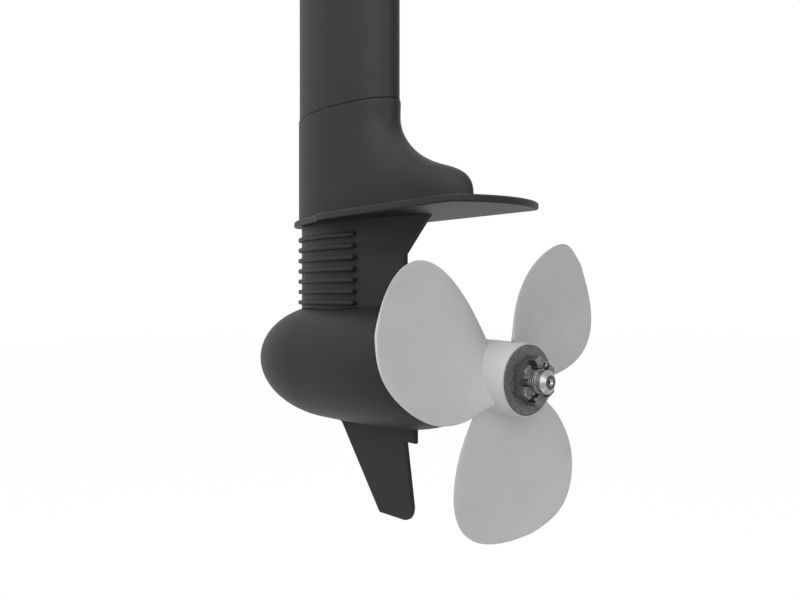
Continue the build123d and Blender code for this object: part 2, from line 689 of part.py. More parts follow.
# Shaft: front bearing, rotor seat with its flange, rear bearing and seal, then the hub
with BuildPart() as motor_shaft:
    shaft_front_y = front_bearing_y + SHAFT_FREE
    shoulder_y = POD_BORE_FRONT_Y + SHAFT_FREE
    rear_shoulder_y = rear_bearing_y - SHAFT_FREE
    hub_shoulder_y = PROP_Y - HUB_LENGTH - COLLAR_THICK
    revolve(
        turned(
            (shaft_front_y, 0),
            (shaft_front_y, SHAFT_BEARING_R),
            (shoulder_y, SHAFT_BEARING_R),
            (shoulder_y, SHAFT_ROTOR_R),
            (STATOR_FRONT_Y - SHAFT_FLANGE, SHAFT_ROTOR_R),
            (STATOR_FRONT_Y - SHAFT_FLANGE, SHAFT_FLANGE_R),
            (STATOR_FRONT_Y, SHAFT_FLANGE_R),
            (STATOR_FRONT_Y, SHAFT_ROTOR_R),
            (rear_shoulder_y, SHAFT_ROTOR_R),
            (rear_shoulder_y, SHAFT_BEARING_R),
            (hub_shoulder_y, SHAFT_BEARING_R),
            (hub_shoulder_y, SHAFT_HUB_R),
            (SHAFT_END_Y - SHAFT_END_CHAMFER, SHAFT_HUB_R),
            (SHAFT_END_Y, SHAFT_END_R),
            (SHAFT_END_Y, CENTRE_DRILL_R),
            (SHAFT_END_Y - CENTRE_DRILL_R + CENTRE_DRILL_NECK_R, CENTRE_DRILL_NECK_R),
            (SHAFT_END_Y - CENTRE_DRILL_DEPTH, CENTRE_DRILL_NECK_R),
            (SHAFT_END_Y - CENTRE_DRILL_DEPTH, 0),
        ),
        axis=SHAFT_AXIS,
    )
    with Locations(Plane(origin=(0, DRIVE_PIN_Y, SHAFT_Z), z_dir=(1, 0, 0))):
        Cylinder(DRIVE_PIN_R + SLIP / 2, 3 * SHAFT_HUB_R, mode=Mode.SUBTRACT)
    cotter_way = (-sin(radians(COTTER_ANGLE)), 0, cos(radians(COTTER_ANGLE)))
    with Locations(Plane(origin=(0, COTTER_Y, SHAFT_Z), z_dir=cotter_way)):
        Cylinder(COTTER_R + SLIP, 3 * SHAFT_HUB_R, mode=Mode.SUBTRACT)

motor_shaft.part.label = "motor_shaft"
export_step(motor_shaft.part, "parts/motor_shaft.step")

# Rotor: a core with flats, and a magnet on each flat
with BuildPart() as rotor_core:
    with BuildSketch(across_shaft(STATOR_FRONT_Y)):
        RegularPolygon(ROTOR_R - MAGNET_THICK, MAGNET_COUNT, major_radius=False)
        Circle(SHAFT_ROTOR_R + RUNNING, mode=Mode.SUBTRACT)
    extrude(amount=STATOR_LENGTH)

rotor_core.part.label = "rotor_core"
export_step(rotor_core.part, "parts/rotor_core.step")

magnet_seat = ROTOR_R - MAGNET_THICK
magnet_width = 2 * magnet_seat * sin(pi / MAGNET_COUNT) / cos(pi / MAGNET_COUNT) * MAGNET_SHARE
with BuildPart() as rotor_magnets:
    with BuildSketch(across_shaft(STATOR_FRONT_Y)):
        Circle(ROTOR_R)
        RegularPolygon(magnet_seat, MAGNET_COUNT, major_radius=False, mode=Mode.SUBTRACT)
        with PolarLocations(ROTOR_R, MAGNET_COUNT):
            Rectangle(
                3 * MAGNET_THICK,
                magnet_width / MAGNET_SHARE - magnet_width,
                mode=Mode.SUBTRACT,
            )
    extrude(amount=STATOR_LENGTH)

rotor_magnets.part.label = "rotor_magnets"
export_step(rotor_magnets.part, "parts/rotor_magnets.step")

# Bearings, one at each end of the motor
with BuildPart() as front_bearing:
    with BuildSketch(across_shaft(front_bearing_y)):
        Circle(BEARING_R)
        Circle(SHAFT_BEARING_R + RUNNING, mode=Mode.SUBTRACT)
    extrude(amount=BEARING_WIDTH)

front_bearing.part.label = "front_bearing"
export_step(front_bearing.part, "parts/front_bearing.step")

with BuildPart() as rear_bearing:
    with BuildSketch(across_shaft(rear_bearing_y)):
        Circle(BEARING_R)
        Circle(SHAFT_BEARING_R + RUNNING, mode=Mode.SUBTRACT)
    extrude(amount=BEARING_WIDTH)

rear_bearing.part.label = "rear_bearing"
export_step(rear_bearing.part, "parts/rear_bearing.step")

# Shaft seal with two lips
with BuildPart() as shaft_seal:
    revolve(
        turned(
            (seal_y, SEAL_R),
            (seal_y, SHAFT_BEARING_R + RUNNING),
            (seal_y + SEAL_WIDTH / 2, SHAFT_BEARING_R + RUNNING),
            (seal_y + SEAL_WIDTH, SHAFT_BEARING_R + SEAL_WIDTH / 2),
            (POD_TAIL_Y - SEAL_WIDTH / 2, SHAFT_BEARING_R + RUNNING),
            (POD_TAIL_Y, SHAFT_BEARING_R + RUNNING),
            (POD_TAIL_Y, SEAL_R),
        ),
        axis=SHAFT_AXIS,
    )

shaft_seal.part.label = "shaft_seal"
export_step(shaft_seal.part, "parts/shaft_seal.step")

# Thrust collar against the shaft's shoulder
with BuildPart() as thrust_collar:
    with BuildSketch(across_shaft(hub_shoulder_y)):
        Circle(COLLAR_R)
        Circle(SHAFT_HUB_R + RUNNING, mode=Mode.SUBTRACT)
    extrude(amount=COLLAR_THICK)

thrust_collar.part.label = "thrust_collar"
export_step(thrust_collar.part, "parts/thrust_collar.step")

# Drive pin across the shaft, in the hub's front slot
with BuildPart() as drive_pin:
    with Locations(Plane(origin=(0, DRIVE_PIN_Y, SHAFT_Z), z_dir=(1, 0, 0))):
        Cylinder(DRIVE_PIN_R, 2 * DRIVE_PIN_HALF)

drive_pin.part.label = "drive_pin"
export_step(drive_pin.part, "parts/drive_pin.step")


def series(terms, share):
    """Value of a power series in the share of the blade's span."""
    return sum(term * share**power for power, term in enumerate(terms))


def blade_section(share):
    """One section of the upright blade, across its span."""
    height = BLADE_ROOT + (PROP_R - BLADE_ROOT) * share
    half = sqrt(1 - share**2) * series(BLADE_HALF_CHORD, share)
    skew = series(BLADE_SKEW, share)
    pitch = atan2(series(BLADE_PITCH, share), 2 * pi * height)
    bow = series(BLADE_BOW, share) * half**2
    thick = BLADE_TIP_THICK + (BLADE_ROOT_THICK - BLADE_TIP_THICK) * (1 - share)
    station = PROP_Y + series(BLADE_AXIAL, share) - skew * sin(pitch)
    section_plane = Plane(
        origin=(-skew * cos(pitch), station, SHAFT_Z + height),
        x_dir=(-cos(pitch), -sin(pitch), 0),
        z_dir=(0, 0, 1),
    )
    points = []
    for step in range(BLADE_POINTS):
        turn = 2 * pi * step / BLADE_POINTS
        points.append((half * cos(turn), thick / 2 * sin(turn) - bow * cos(turn) ** 2))
    with BuildSketch(section_plane) as section:
        with BuildLine():
            Spline(*points, periodic=True)
        make_face()
    return section.sketch


# Propeller: hub with a slot in front, a recess behind and three blades
blade_shares = [
    sin(radians(BLADE_LAST_SECTION * step / (BLADE_SECTIONS - 1))) for step in range(BLADE_SECTIONS)
]
with BuildPart() as blade:
    loft([blade_section(share).face() for share in blade_shares])

with BuildPart() as propeller:
    revolve(
        turned(
            (PROP_Y - HUB_LENGTH, 0),
            (PROP_Y - HUB_LENGTH, HUB_FRONT_R - HUB_EDGE),
            (PROP_Y - HUB_LENGTH + HUB_EDGE, HUB_FRONT_R),
            (PROP_Y, HUB_REAR_R),
            (PROP_Y, 0),
        ),
        axis=SHAFT_AXIS,
    )
    for index in range(BLADE_COUNT):
        add(blade.part.rotate(SHAFT_AXIS, -BLADE_FIRST_ANGLE - index * 360 / BLADE_COUNT))
    for station, radius, length in (
        (PROP_Y - HUB_LENGTH, SHAFT_HUB_R + RUNNING, HUB_LENGTH),
        (PROP_Y - WASHER_THICK, WASHER_R + NEST, WASHER_THICK),
    ):
        with BuildSketch(across_shaft(station)):
            Circle(radius)
        extrude(amount=length, mode=Mode.SUBTRACT)
    with BuildSketch(across_shaft(PROP_Y - HUB_LENGTH)):
        Rectangle(2 * DRIVE_PIN_HALF + 2 * NEST, 2 * DRIVE_PIN_R)
    extrude(amount=DRIVE_PIN_Y + DRIVE_PIN_R - PROP_Y + HUB_LENGTH, mode=Mode.SUBTRACT)

propeller.part.label = "propeller"
export_step(propeller.part, "parts/propeller.step")

# Washer sunk in the hub's rear face
with BuildPart() as hub_washer:
    with BuildSketch(across_shaft(PROP_Y - WASHER_THICK)):
        Circle(WASHER_R)
        Circle(SHAFT_HUB_R + SLIP, mode=Mode.SUBTRACT)
    extrude(amount=WASHER_THICK)
    chamfer(hub_washer.faces().sort_by(Axis.Y)[-1].outer_wire().edges(), WASHER_THICK / 6)

hub_washer.part.label = "hub_washer"
export_step(hub_washer.part, "parts/hub_washer.step")

# Castle nut, slots in the middle of its flats
with BuildPart() as castle_nut:
    with BuildSketch(across_shaft(PROP_Y)):
        RegularPolygon(NUT_ACROSS_FLATS / 2, 6, major_radius=False, rotation=30)
        Circle(SHAFT_HUB_R + RUNNING, mode=Mode.SUBTRACT)
    extrude(amount=NUT_THICK)
    chamfer(castle_nut.faces().sort_by(Axis.Y)[-1].outer_wire().edges(), NUT_CHAMFER)
    with BuildSketch(across_shaft(PROP_Y + NUT_THICK - NUT_SLOT_DEPTH)):
        Circle(NUT_CROWN_BORE_R)
        with PolarLocations(0, 3):
            Rectangle(2 * NUT_ACROSS_FLATS, NUT_SLOT_WIDTH)
    extrude(amount=NUT_SLOT_DEPTH, mode=Mode.SUBTRACT)

castle_nut.part.label = "castle_nut"
export_step(castle_nut.part, "parts/castle_nut.step")

# Cotter pin through a pair of slots: eye at one end, bent aft at the other
cotter_side = (-cotter_way[2], 0, cotter_way[0])
cotter_plane = Plane(origin=(0, COTTER_Y, SHAFT_Z), x_dir=cotter_way, z_dir=cotter_side)
with BuildPart() as cotter_pin:
    with BuildLine(cotter_plane) as cotter_run:
        FilletPolyline(
            (COTTER_EYE_REACH, 0),
            (-COTTER_REACH, 0),
            (-COTTER_REACH - COTTER_LEG * COTTER_LEG_LEAN, COTTER_LEG),
            radius=2 * COTTER_R,
        )
    with BuildSketch(Plane(origin=cotter_run.line @ 0, z_dir=cotter_run.line % 0)):
        Circle(COTTER_R)
    sweep(path=cotter_run.line)
    eye_centre = cotter_plane.from_local_coords((COTTER_EYE_REACH + COTTER_EYE_R, 0, 0))
    with Locations(Plane(origin=eye_centre, z_dir=cotter_plane.z_dir)):
        Torus(COTTER_EYE_R, COTTER_R)

cotter_pin.part.label = "cotter_pin"
export_step(cotter_pin.part, "parts/cotter_pin.step")


def half_ellipses(height, half, front, back):
    """Flat outline of two half ellipses about the leg's middle, at a height."""
    with BuildSketch(Plane.XY.offset(height)) as outline:
        with BuildLine():
            EllipticalCenterArc((0, LEG_Y), half, front, 180, arc_size=180)
            EllipticalCenterArc((0, LEG_Y), half, back, 0, arc_size=180)
        make_face()
    return outline.sketch


# Fairing: carries the leg's section down and back to the plate
fairing_half = LEG_THICK / 2 + FAIRING_PROUD
fairing_front = LEG_DEEP / 2 + FAIRING_PROUD
leg_inner_half = LEG_THICK / 2 - LEG_WALL
leg_inner_deep = LEG_DEEP / 2 - LEG_WALL
with BuildPart() as fairing:
    loft(
        [
            half_ellipses(SHAFT_Z + height, fairing_half, fairing_front, back).face()
            for height, back in FAIRING_BACK
        ]
    )
    with BuildSketch(Plane.XY.offset(LEG_SEAM_Z)):
        with Locations((0, LEG_Y)):
            Ellipse(leg_inner_half - NEST, leg_inner_deep - NEST)
    extrude(amount=FAIRING_SPIGOT)
    with BuildSketch(Plane.XY.offset(FAIRING_CAVITY_LOW_Z)):
        with Locations((0, LEG_Y)):
            Ellipse(FAIRING_CAVITY_HALF, FAIRING_CAVITY_DEEP)
    extrude(amount=LEG_SEAM_Z + FAIRING_SPIGOT - FAIRING_CAVITY_LOW_Z, mode=Mode.SUBTRACT)
    with BuildSketch(Plane.XY.offset(PLATE_Z)):
        with Locations((0, CABLE_Y)):
            Circle(CABLE_CHANNEL_R)
        for rod_y in TIE_ROD_Y:
            with Locations((0, rod_y)):
                Circle(TIE_ROD_R + SEAT)
    extrude(amount=FAIRING_CAVITY_LOW_Z - PLATE_Z, mode=Mode.SUBTRACT)

fairing.part.label = "fairing"
export_step(fairing.part, "parts/fairing.step")

# Leg tube
with BuildPart() as leg:
    with BuildSketch(Plane.XY.offset(LEG_SEAM_Z)):
        with Locations((0, LEG_Y)):
            Ellipse(LEG_THICK / 2, LEG_DEEP / 2)
            Ellipse(leg_inner_half, leg_inner_deep, mode=Mode.SUBTRACT)
    extrude(amount=LEG_TOP_Z - LEG_SEAM_Z)

leg.part.label = "leg"
export_step(leg.part, "parts/leg.step")

# Cable from the windings to the controller
with BuildPart() as motor_cable:
    with BuildSketch(Plane.XY.offset(SHAFT_Z + COIL_OUTER_R)):
        with Locations((0, CABLE_Y)):
            Circle(CABLE_R)
    extrude(amount=CONTROLLER_Z - SHAFT_Z - COIL_OUTER_R)

motor_cable.part.label = "motor_cable"
export_step(motor_cable.part, "parts/motor_cable.step")

# Tie rods that clamp housing, fairing, leg and head together, and their nuts
with BuildPart() as tie_rods:
    with BuildSketch(Plane.XY.offset(TIE_ROD_LOW_Z)):
        for rod_y in TIE_ROD_Y:
            with Locations((0, rod_y)):
                Circle(TIE_ROD_R)
    extrude(amount=HEAD_BASE_Z + HEAD_FLOOR + TIE_ROD_END - TIE_ROD_LOW_Z)

tie_rods.part.label = "tie_rods"
export_step(tie_rods.part, "parts/tie_rods.step")

with BuildPart() as tie_rod_nuts:
    with BuildSketch(Plane.XY.offset(HEAD_BASE_Z + HEAD_FLOOR)):
        for rod_y in TIE_ROD_Y:
            with Locations((0, rod_y)):
                RegularPolygon(TIE_NUT_R, 6, major_radius=False)
                Circle(TIE_ROD_R + RUNNING, mode=Mode.SUBTRACT)
    extrude(amount=TIE_NUT)

tie_rod_nuts.part.label = "tie_rod_nuts"
export_step(tie_rod_nuts.part, "parts/tie_rod_nuts.step")


def side_profile(*points):
    """Straight-sided outline from (y, z) points, to be added to a sketch across the tilt axis."""
    with BuildSketch() as outline:
        with BuildLine():
            Polyline(*points, close=True)
        make_face()
    return outline.sketch


# Swivel bracket: tube for the kingpin, forked forwards to the tilt tube
swivel_arm = side_profile(
    (TILT_Y, TILT_Z + SWIVEL_EYE_R),
    (STEER_Y - SWIVEL_TUBE_R, SWIVEL_TOP - BUSH_FLANGE),
    (STEER_Y, SWIVEL_TOP - BUSH_FLANGE),
    (STEER_Y, SWIVEL_GUSSET_Z),
    (SWIVEL_FORK_Y, SWIVEL_GUSSET_Z),
    (SWIVEL_ARM_FRONT_Y, SWIVEL_GUSSET_Z / 4),
    (SWIVEL_ARM_FRONT_Y, TILT_Z - SWIVEL_EYE_R),
    (TILT_Y, TILT_Z - SWIVEL_EYE_R),
)
with BuildPart() as swivel_bracket:
    with BuildSketch(Plane.YZ):
        add(swivel_arm)
    extrude(amount=SWIVEL_ARM_X, both=True)
    fillet(
        swivel_bracket.edges().filter_by(Axis.Z).sort_by(Axis.Y)[-2:],
        SWIVEL_ARM_X - SWIVEL_EYE_INNER_X,
    )
    with Locations((0, SWIVEL_FORK_Y, 0)):
        Box(
            2 * SWIVEL_EYE_INNER_X,
            CUT_REACH,
            CUT_REACH,
            align=(Align.CENTER, Align.MAX, Align.CENTER),
            mode=Mode.SUBTRACT,
        )
    with BuildSketch(Plane.XY.offset(SWIVEL_BOTTOM)):
        with Locations((0, STEER_Y)):
            Circle(SWIVEL_TUBE_R)
    extrude(amount=SWIVEL_TOP - SWIVEL_BOTTOM)
    for side in (1, -1):
        with BuildSketch(Plane.YZ.offset(side * SWIVEL_EYE_INNER_X)):
            with Locations((TILT_Y, TILT_Z)):
                Circle(SWIVEL_EYE_R)
        extrude(amount=side * (SWIVEL_EYE_X - SWIVEL_EYE_INNER_X))
    with BuildSketch(Plane.YZ):
        with Locations((STEER_Y, KNOB_Z)):
            Circle(KNOB_BOSS_R)
    extrude(amount=KNOB_X - SEAT)
    # bores for the bushes, the kingpin, the tilt tube and the friction screw
    with BuildSketch(Plane.XY.offset(SWIVEL_BOTTOM)):
        with Locations((0, STEER_Y)):
            Circle(SWIVEL_BORE_R)
    extrude(amount=SWIVEL_TOP - SWIVEL_BOTTOM, mode=Mode.SUBTRACT)
    with BuildSketch(Plane.YZ.offset(-SWIVEL_EYE_X)):
        with Locations((TILT_Y, TILT_Z)):
            Circle(TILT_TUBE_R + RUNNING)
    extrude(amount=2 * SWIVEL_EYE_X, mode=Mode.SUBTRACT)
    with BuildSketch(Plane.YZ):
        with Locations((STEER_Y, KNOB_Z)):
            Circle(KNOB_SCREW_R + RUNNING)
    extrude(amount=KNOB_X, mode=Mode.SUBTRACT)

swivel_bracket.part.label = "swivel_bracket"
export_step(swivel_bracket.part, "parts/swivel_bracket.step")

# Flanged bushes at the tube's two ends
with BuildPart() as upper_bush:
    with BuildSketch(Plane.XY.offset(SWIVEL_TOP)):
        with Locations((0, STEER_Y)):
            Circle(BUSH_FLANGE_R)
    extrude(amount=BUSH_FLANGE)
    with BuildSketch(Plane.XY.offset(SWIVEL_TOP - BUSH_LENGTH)):
        with Locations((0, STEER_Y)):
            Circle(SWIVEL_BORE_R - RUNNING)
    extrude(amount=BUSH_LENGTH)
    with BuildSketch(Plane.XY.offset(SWIVEL_TOP - BUSH_LENGTH)):
        with Locations((0, STEER_Y)):
            Circle(KINGPIN_R + RUNNING)
    extrude(amount=BUSH_LENGTH + BUSH_FLANGE, mode=Mode.SUBTRACT)

upper_bush.part.label = "upper_bush"
export_step(upper_bush.part, "parts/upper_bush.step")

with BuildPart() as lower_bush:
    middle = Plane.XY.offset((SWIVEL_TOP + SWIVEL_BOTTOM) / 2)
    add(upper_bush.part.mirror(middle))

lower_bush.part.label = "lower_bush"
export_step(lower_bush.part, "parts/lower_bush.step")

# Friction screw with its knob, on the tube's port side
with BuildPart() as friction_knob:
    with BuildSketch(Plane.YZ.offset(KNOB_X)):
        with Locations((STEER_Y, KNOB_Z)):
            Circle(KNOB_R)
            with PolarLocations(KNOB_R + KNOB_FLUTE_R / 2, KNOB_FLUTES):
                Circle(KNOB_FLUTE_R, mode=Mode.SUBTRACT)
    extrude(amount=KNOB_THICK)
    with BuildSketch(Plane.YZ.offset(KINGPIN_R + SEAT)):
        with Locations((STEER_Y, KNOB_Z)):
            Circle(KNOB_SCREW_R)
    extrude(amount=KNOB_X - KINGPIN_R - SEAT)

friction_knob.part.label = "friction_knob"
export_step(friction_knob.part, "parts/friction_knob.step")

# Kingpin, headed at the top, with a nut below the lower yoke
kingpin_top_z = UPPER_YOKE_Z + YOKE_HEIGHT
with BuildPart() as kingpin:
    with BuildSketch(Plane.XY.offset(LOWER_YOKE_Z - KINGPIN_NUT - KINGPIN_END)):
        with Locations((0, STEER_Y)):
            Circle(KINGPIN_R)
    extrude(amount=kingpin_top_z - LOWER_YOKE_Z + KINGPIN_NUT + KINGPIN_END)
    with BuildSketch(Plane.XY.offset(kingpin_top_z)):
        with Locations((0, STEER_Y)):
            Circle(KINGPIN_HEAD_R)
    extrude(amount=KINGPIN_HEAD)
    chamfer(kingpin.faces().sort_by(Axis.Z)[-1].edges(), KINGPIN_HEAD / 4)

kingpin.part.label = "kingpin"
export_step(kingpin.part, "parts/kingpin.step")

with BuildPart() as kingpin_nut:
    with BuildSketch(Plane.XY.offset(LOWER_YOKE_Z)):
        with Locations((0, STEER_Y)):
            RegularPolygon(KINGPIN_NUT_R, 6, major_radius=False)
            Circle(KINGPIN_R + RUNNING, mode=Mode.SUBTRACT)
    extrude(amount=-KINGPIN_NUT)

kingpin_nut.part.label = "kingpin_nut"
export_step(kingpin_nut.part, "parts/kingpin_nut.step")

# Outline of a yoke and its strap: boss on the kingpin, ring round the leg, a pair of lugs
yoke_half = LEG_THICK / 2 + YOKE_WALL
yoke_deep = LEG_DEEP / 2 + YOKE_WALL
lug_x = yoke_half + YOKE_LUG_WIDTH / 2
with BuildSketch() as yoke_outline:
    with Locations((0, LEG_Y)):
        Ellipse(yoke_half, yoke_deep)
    with Locations((0, STEER_Y)):
        Circle(YOKE_BOSS_R)
    with BuildLine():
        Polyline(
            (-YOKE_BOSS_R, STEER_Y),
            (YOKE_BOSS_R, STEER_Y),
            (yoke_half * YOKE_NECK_WIDTH, LEG_Y - yoke_deep * YOKE_NECK_DEPTH),
            (-yoke_half * YOKE_NECK_WIDTH, LEG_Y - yoke_deep * YOKE_NECK_DEPTH),
            close=True,
        )
    make_face()
    with Locations((0, YOKE_SPLIT_Y)):
        RectangleRounded(
            2 * (yoke_half + YOKE_LUG_WIDTH),
            2 * YOKE_LUG_DEEP + YOKE_SPLIT_GAP,
            YOKE_LUG_DEEP / 3,
        )
    with Locations((0, LEG_Y)):
        Ellipse(LEG_THICK / 2 + RUNNING, LEG_DEEP / 2 + RUNNING, mode=Mode.SUBTRACT)
    with Locations((0, STEER_Y)):
        Circle(KINGPIN_R + RUNNING, mode=Mode.SUBTRACT)


def yoke_pieces(height):
    """The yoke and the strap behind it, one level of the outline each, drilled for two bolts."""
    pieces = []
    for align, start in ((Align.MAX, -YOKE_SPLIT_GAP / 2), (Align.MIN, YOKE_SPLIT_GAP / 2)):
        with BuildPart() as piece:
            with BuildSketch(Plane.XY.offset(height)):
                add(yoke_outline.sketch)
                with Locations((0, YOKE_SPLIT_Y + start)):
                    Rectangle(
                        CUT_REACH, CUT_REACH, align=(Align.CENTER, align), mode=Mode.INTERSECT
                    )
            extrude(amount=YOKE_HEIGHT)
            for side in (1, -1):
                bolt_middle = (side * lug_x, YOKE_SPLIT_Y, height + YOKE_HEIGHT / 2)
                with Locations(Plane(origin=bolt_middle, z_dir=(0, 1, 0))):
                    Cylinder(YOKE_BOLT_R + SLIP, 4 * YOKE_LUG_DEEP, mode=Mode.SUBTRACT)
        pieces.append(piece.part)
    return pieces


upper_yoke, upper_strap = yoke_pieces(UPPER_YOKE_Z)
upper_yoke.label = "upper_yoke"
export_step(upper_yoke, "parts/upper_yoke.step")
upper_strap.label = "upper_strap"
export_step(upper_strap, "parts/upper_strap.step")

lower_yoke, lower_strap = yoke_pieces(LOWER_YOKE_Z)
lower_yoke.label = "lower_yoke"
export_step(lower_yoke, "parts/lower_yoke.step")
lower_strap.label = "lower_strap"
export_step(lower_strap, "parts/lower_strap.step")

# Bolts with their nuts, through the lugs of both yokes
half_grip = YOKE_LUG_DEEP + YOKE_SPLIT_GAP / 2
with BuildPart() as yoke_bolts:
    for height in (UPPER_YOKE_Z, LOWER_YOKE_Z):
        for side in (1, -1):
            bolt_front = (side * lug_x, YOKE_SPLIT_Y - half_grip, height + YOKE_HEIGHT / 2)
            bolt_rear = (side * lug_x, YOKE_SPLIT_Y + half_grip, height + YOKE_HEIGHT / 2)
            with BuildSketch(Plane(origin=bolt_front, z_dir=(0, -1, 0))):
                RegularPolygon(YOKE_BOLT_HEAD_R, 6, major_radius=False)
            extrude(amount=YOKE_BOLT_HEAD)
            with BuildSketch(Plane(origin=bolt_front, z_dir=(0, 1, 0))):
                Circle(YOKE_BOLT_R)
            extrude(amount=2 * half_grip + YOKE_BOLT_HEAD + YOKE_BOLT_R / 2)
            with BuildSketch(Plane(origin=bolt_rear, z_dir=(0, 1, 0))):
                RegularPolygon(YOKE_BOLT_HEAD_R, 6, major_radius=False)
            extrude(amount=YOKE_BOLT_HEAD)

yoke_bolts.part.label = "yoke_bolts"
export_step(yoke_bolts.part, "parts/yoke_bolts.step")

# Clamp bracket, port side first: hooks over the transom, carries the tilt tube and the clamp screw
bracket_outer_x = BRACKET_INNER_X + BRACKET_WEB
with BuildPart() as port_bracket:
    with BuildSketch(Plane.YZ.offset(BRACKET_INNER_X)) as bracket_side:
        add(
            side_profile(
                (0, BRACKET_LOW_Z),
                (BRACKET_LOBE_Y, BRACKET_LOW_Z),
                (BRACKET_LOBE_Y, BRACKET_LOBE_Z),
                (BRACKET_AFT_Y, BRACKET_LOBE_Z + BRACKET_LOBE_Y - BRACKET_AFT_Y),
                (BRACKET_AFT_Y, BRACKET_CAP),
                (TILT_Y + BRACKET_BOSS_R, TILT_Z + BRACKET_BOSS_R / 2),
                (TILT_Y - BRACKET_BOSS_R, TILT_Z + BRACKET_BOSS_R / 2),
                (BRACKET_ARM_FRONT_Y, BRACKET_CAP),
                (BRACKET_ARM_FRONT_Y, BRACKET_ARM_LOW_Z),
                (BRACKET_ARM_BACK_Y, BRACKET_ARM_LOW_Z),
                (BRACKET_ARM_BACK_Y, 0),
                (0, 0),
            )
        )
        fillet(bracket_side.vertices().group_by(Axis.X)[-1], BRACKET_CORNER_R)
        fillet(bracket_side.vertices().group_by(Axis.X)[0], BRACKET_CORNER_R / 2)
        with Locations((TILT_Y, TILT_Z)):
            Circle(BRACKET_BOSS_R)
    extrude(amount=BRACKET_WEB)
    # flange that lies against the transom
    with Locations((BRACKET_INNER_X, 0, 0)):
        Box(
            BRACKET_FLANGE_X - BRACKET_INNER_X,
            BRACKET_FLANGE,
            -BRACKET_LOW_Z,
            align=(Align.MIN, Align.MIN, Align.MAX),
        )
    fillet(
        port_bracket.edges().filter_by(Axis.Y).group_by(Axis.X)[-1],
        BRACKET_CORNER_R / 2,
    )
    clamp_boss = (CLAMP_X, BRACKET_ARM_FRONT_Y - CLAMP_BOSS_PROUD, CLAMP_Z)
    with Locations(Plane(origin=clamp_boss, z_dir=(0, 1, 0))):
        Cylinder(
            CLAMP_BOSS_R,
            BRACKET_ARM_BACK_Y - BRACKET_ARM_FRONT_Y + 2 * CLAMP_BOSS_PROUD,
            align=(Align.CENTER, Align.CENTER, Align.MIN),
        )
    # holes: tilt tube, clamp screw, transom bolts, tilt pin
    with Locations(Plane(origin=(CLAMP_X, BRACKET_ARM_FRONT_Y, CLAMP_Z), z_dir=(0, 1, 0))):
        Cylinder(CLAMP_SCREW_R + RUNNING, 4 * CLAMP_BOSS_R, mode=Mode.SUBTRACT)
    with Locations(Plane(origin=(bracket_outer_x, TILT_Y, TILT_Z), z_dir=(1, 0, 0))):
        Cylinder(TILT_TUBE_R + SLIP, 4 * BRACKET_WEB, mode=Mode.SUBTRACT)
    for bolt_z in (BRACKET_BOLT_HIGH_Z, BRACKET_BOLT_LOW_Z):
        with Locations(Plane(origin=(BRACKET_BOLT_X, 0, bolt_z), z_dir=(0, 1, 0))):
            Cylinder(BRACKET_BOLT_R, 4 * BRACKET_FLANGE, mode=Mode.SUBTRACT)
    for index in range(PIN_HOLE_COUNT):
        lean = radians(PIN_HOLE_STEP * index)
        pin_y = TILT_Y + (PIN_HOLE_Y - TILT_Y) * cos(lean) - (PIN_HOLE_Z - TILT_Z) * sin(lean)
        pin_z = TILT_Z + (PIN_HOLE_Y - TILT_Y) * sin(lean) + (PIN_HOLE_Z - TILT_Z) * cos(lean)
        with Locations(Plane(origin=(bracket_outer_x, pin_y, pin_z), z_dir=(1, 0, 0))):
            Cylinder(TILT_PIN_R + SLIP, 4 * BRACKET_WEB, mode=Mode.SUBTRACT)

port_bracket.part.label = "port_bracket"
export_step(port_bracket.part, "parts/port_bracket.step")

with BuildPart() as starboard_bracket:
    add(port_bracket.part.mirror(Plane.YZ))

starboard_bracket.part.label = "starboard_bracket"
export_step(starboard_bracket.part, "parts/starboard_bracket.step")

# Tilt tube and its two nuts
with BuildPart() as tilt_tube:
    with BuildSketch(Plane.YZ.offset(-bracket_outer_x - TILT_TUBE_END)):
        with Locations((TILT_Y, TILT_Z)):
            Circle(TILT_TUBE_R)
            Circle(TILT_TUBE_BORE_R, mode=Mode.SUBTRACT)
    extrude(amount=2 * (bracket_outer_x + TILT_TUBE_END))

tilt_tube.part.label = "tilt_tube"
export_step(tilt_tube.part, "parts/tilt_tube.step")

with BuildPart() as tilt_tube_nuts:
    for side in (1, -1):
        with BuildSketch(Plane.YZ.offset(side * bracket_outer_x)):
            with Locations((TILT_Y, TILT_Z)):
                RegularPolygon(TILT_NUT_R, 6, major_radius=False)
                Circle(TILT_TUBE_R + RUNNING, mode=Mode.SUBTRACT)
        extrude(amount=side * TILT_NUT)

tilt_tube_nuts.part.label = "tilt_tube_nuts"
export_step(tilt_tube_nuts.part, "parts/tilt_tube_nuts.step")

# Tilt pin, drawn out to port
with BuildPart() as tilt_pin:
    with BuildSketch(Plane.YZ.offset(-bracket_outer_x - TILT_PIN_END)):
        with Locations((PIN_HOLE_Y, PIN_HOLE_Z)):
            Circle(TILT_PIN_R)
    extrude(amount=2 * bracket_outer_x + TILT_PIN_END + SEAT)
    with BuildSketch(Plane.YZ.offset(bracket_outer_x + SEAT)):
        with Locations((PIN_HOLE_Y, PIN_HOLE_Z)):
            Circle(TILT_PIN_HEAD_R)
    extrude(amount=TILT_PIN_HEAD)
    chamfer(tilt_pin.faces().sort_by(Axis.X)[-1].edges(), TILT_PIN_HEAD / 5)
    chamfer(tilt_pin.faces().sort_by(Axis.X)[0].edges(), TILT_PIN_R / 3)

tilt_pin.part.label = "tilt_pin"
export_step(tilt_pin.part, "parts/tilt_pin.step")

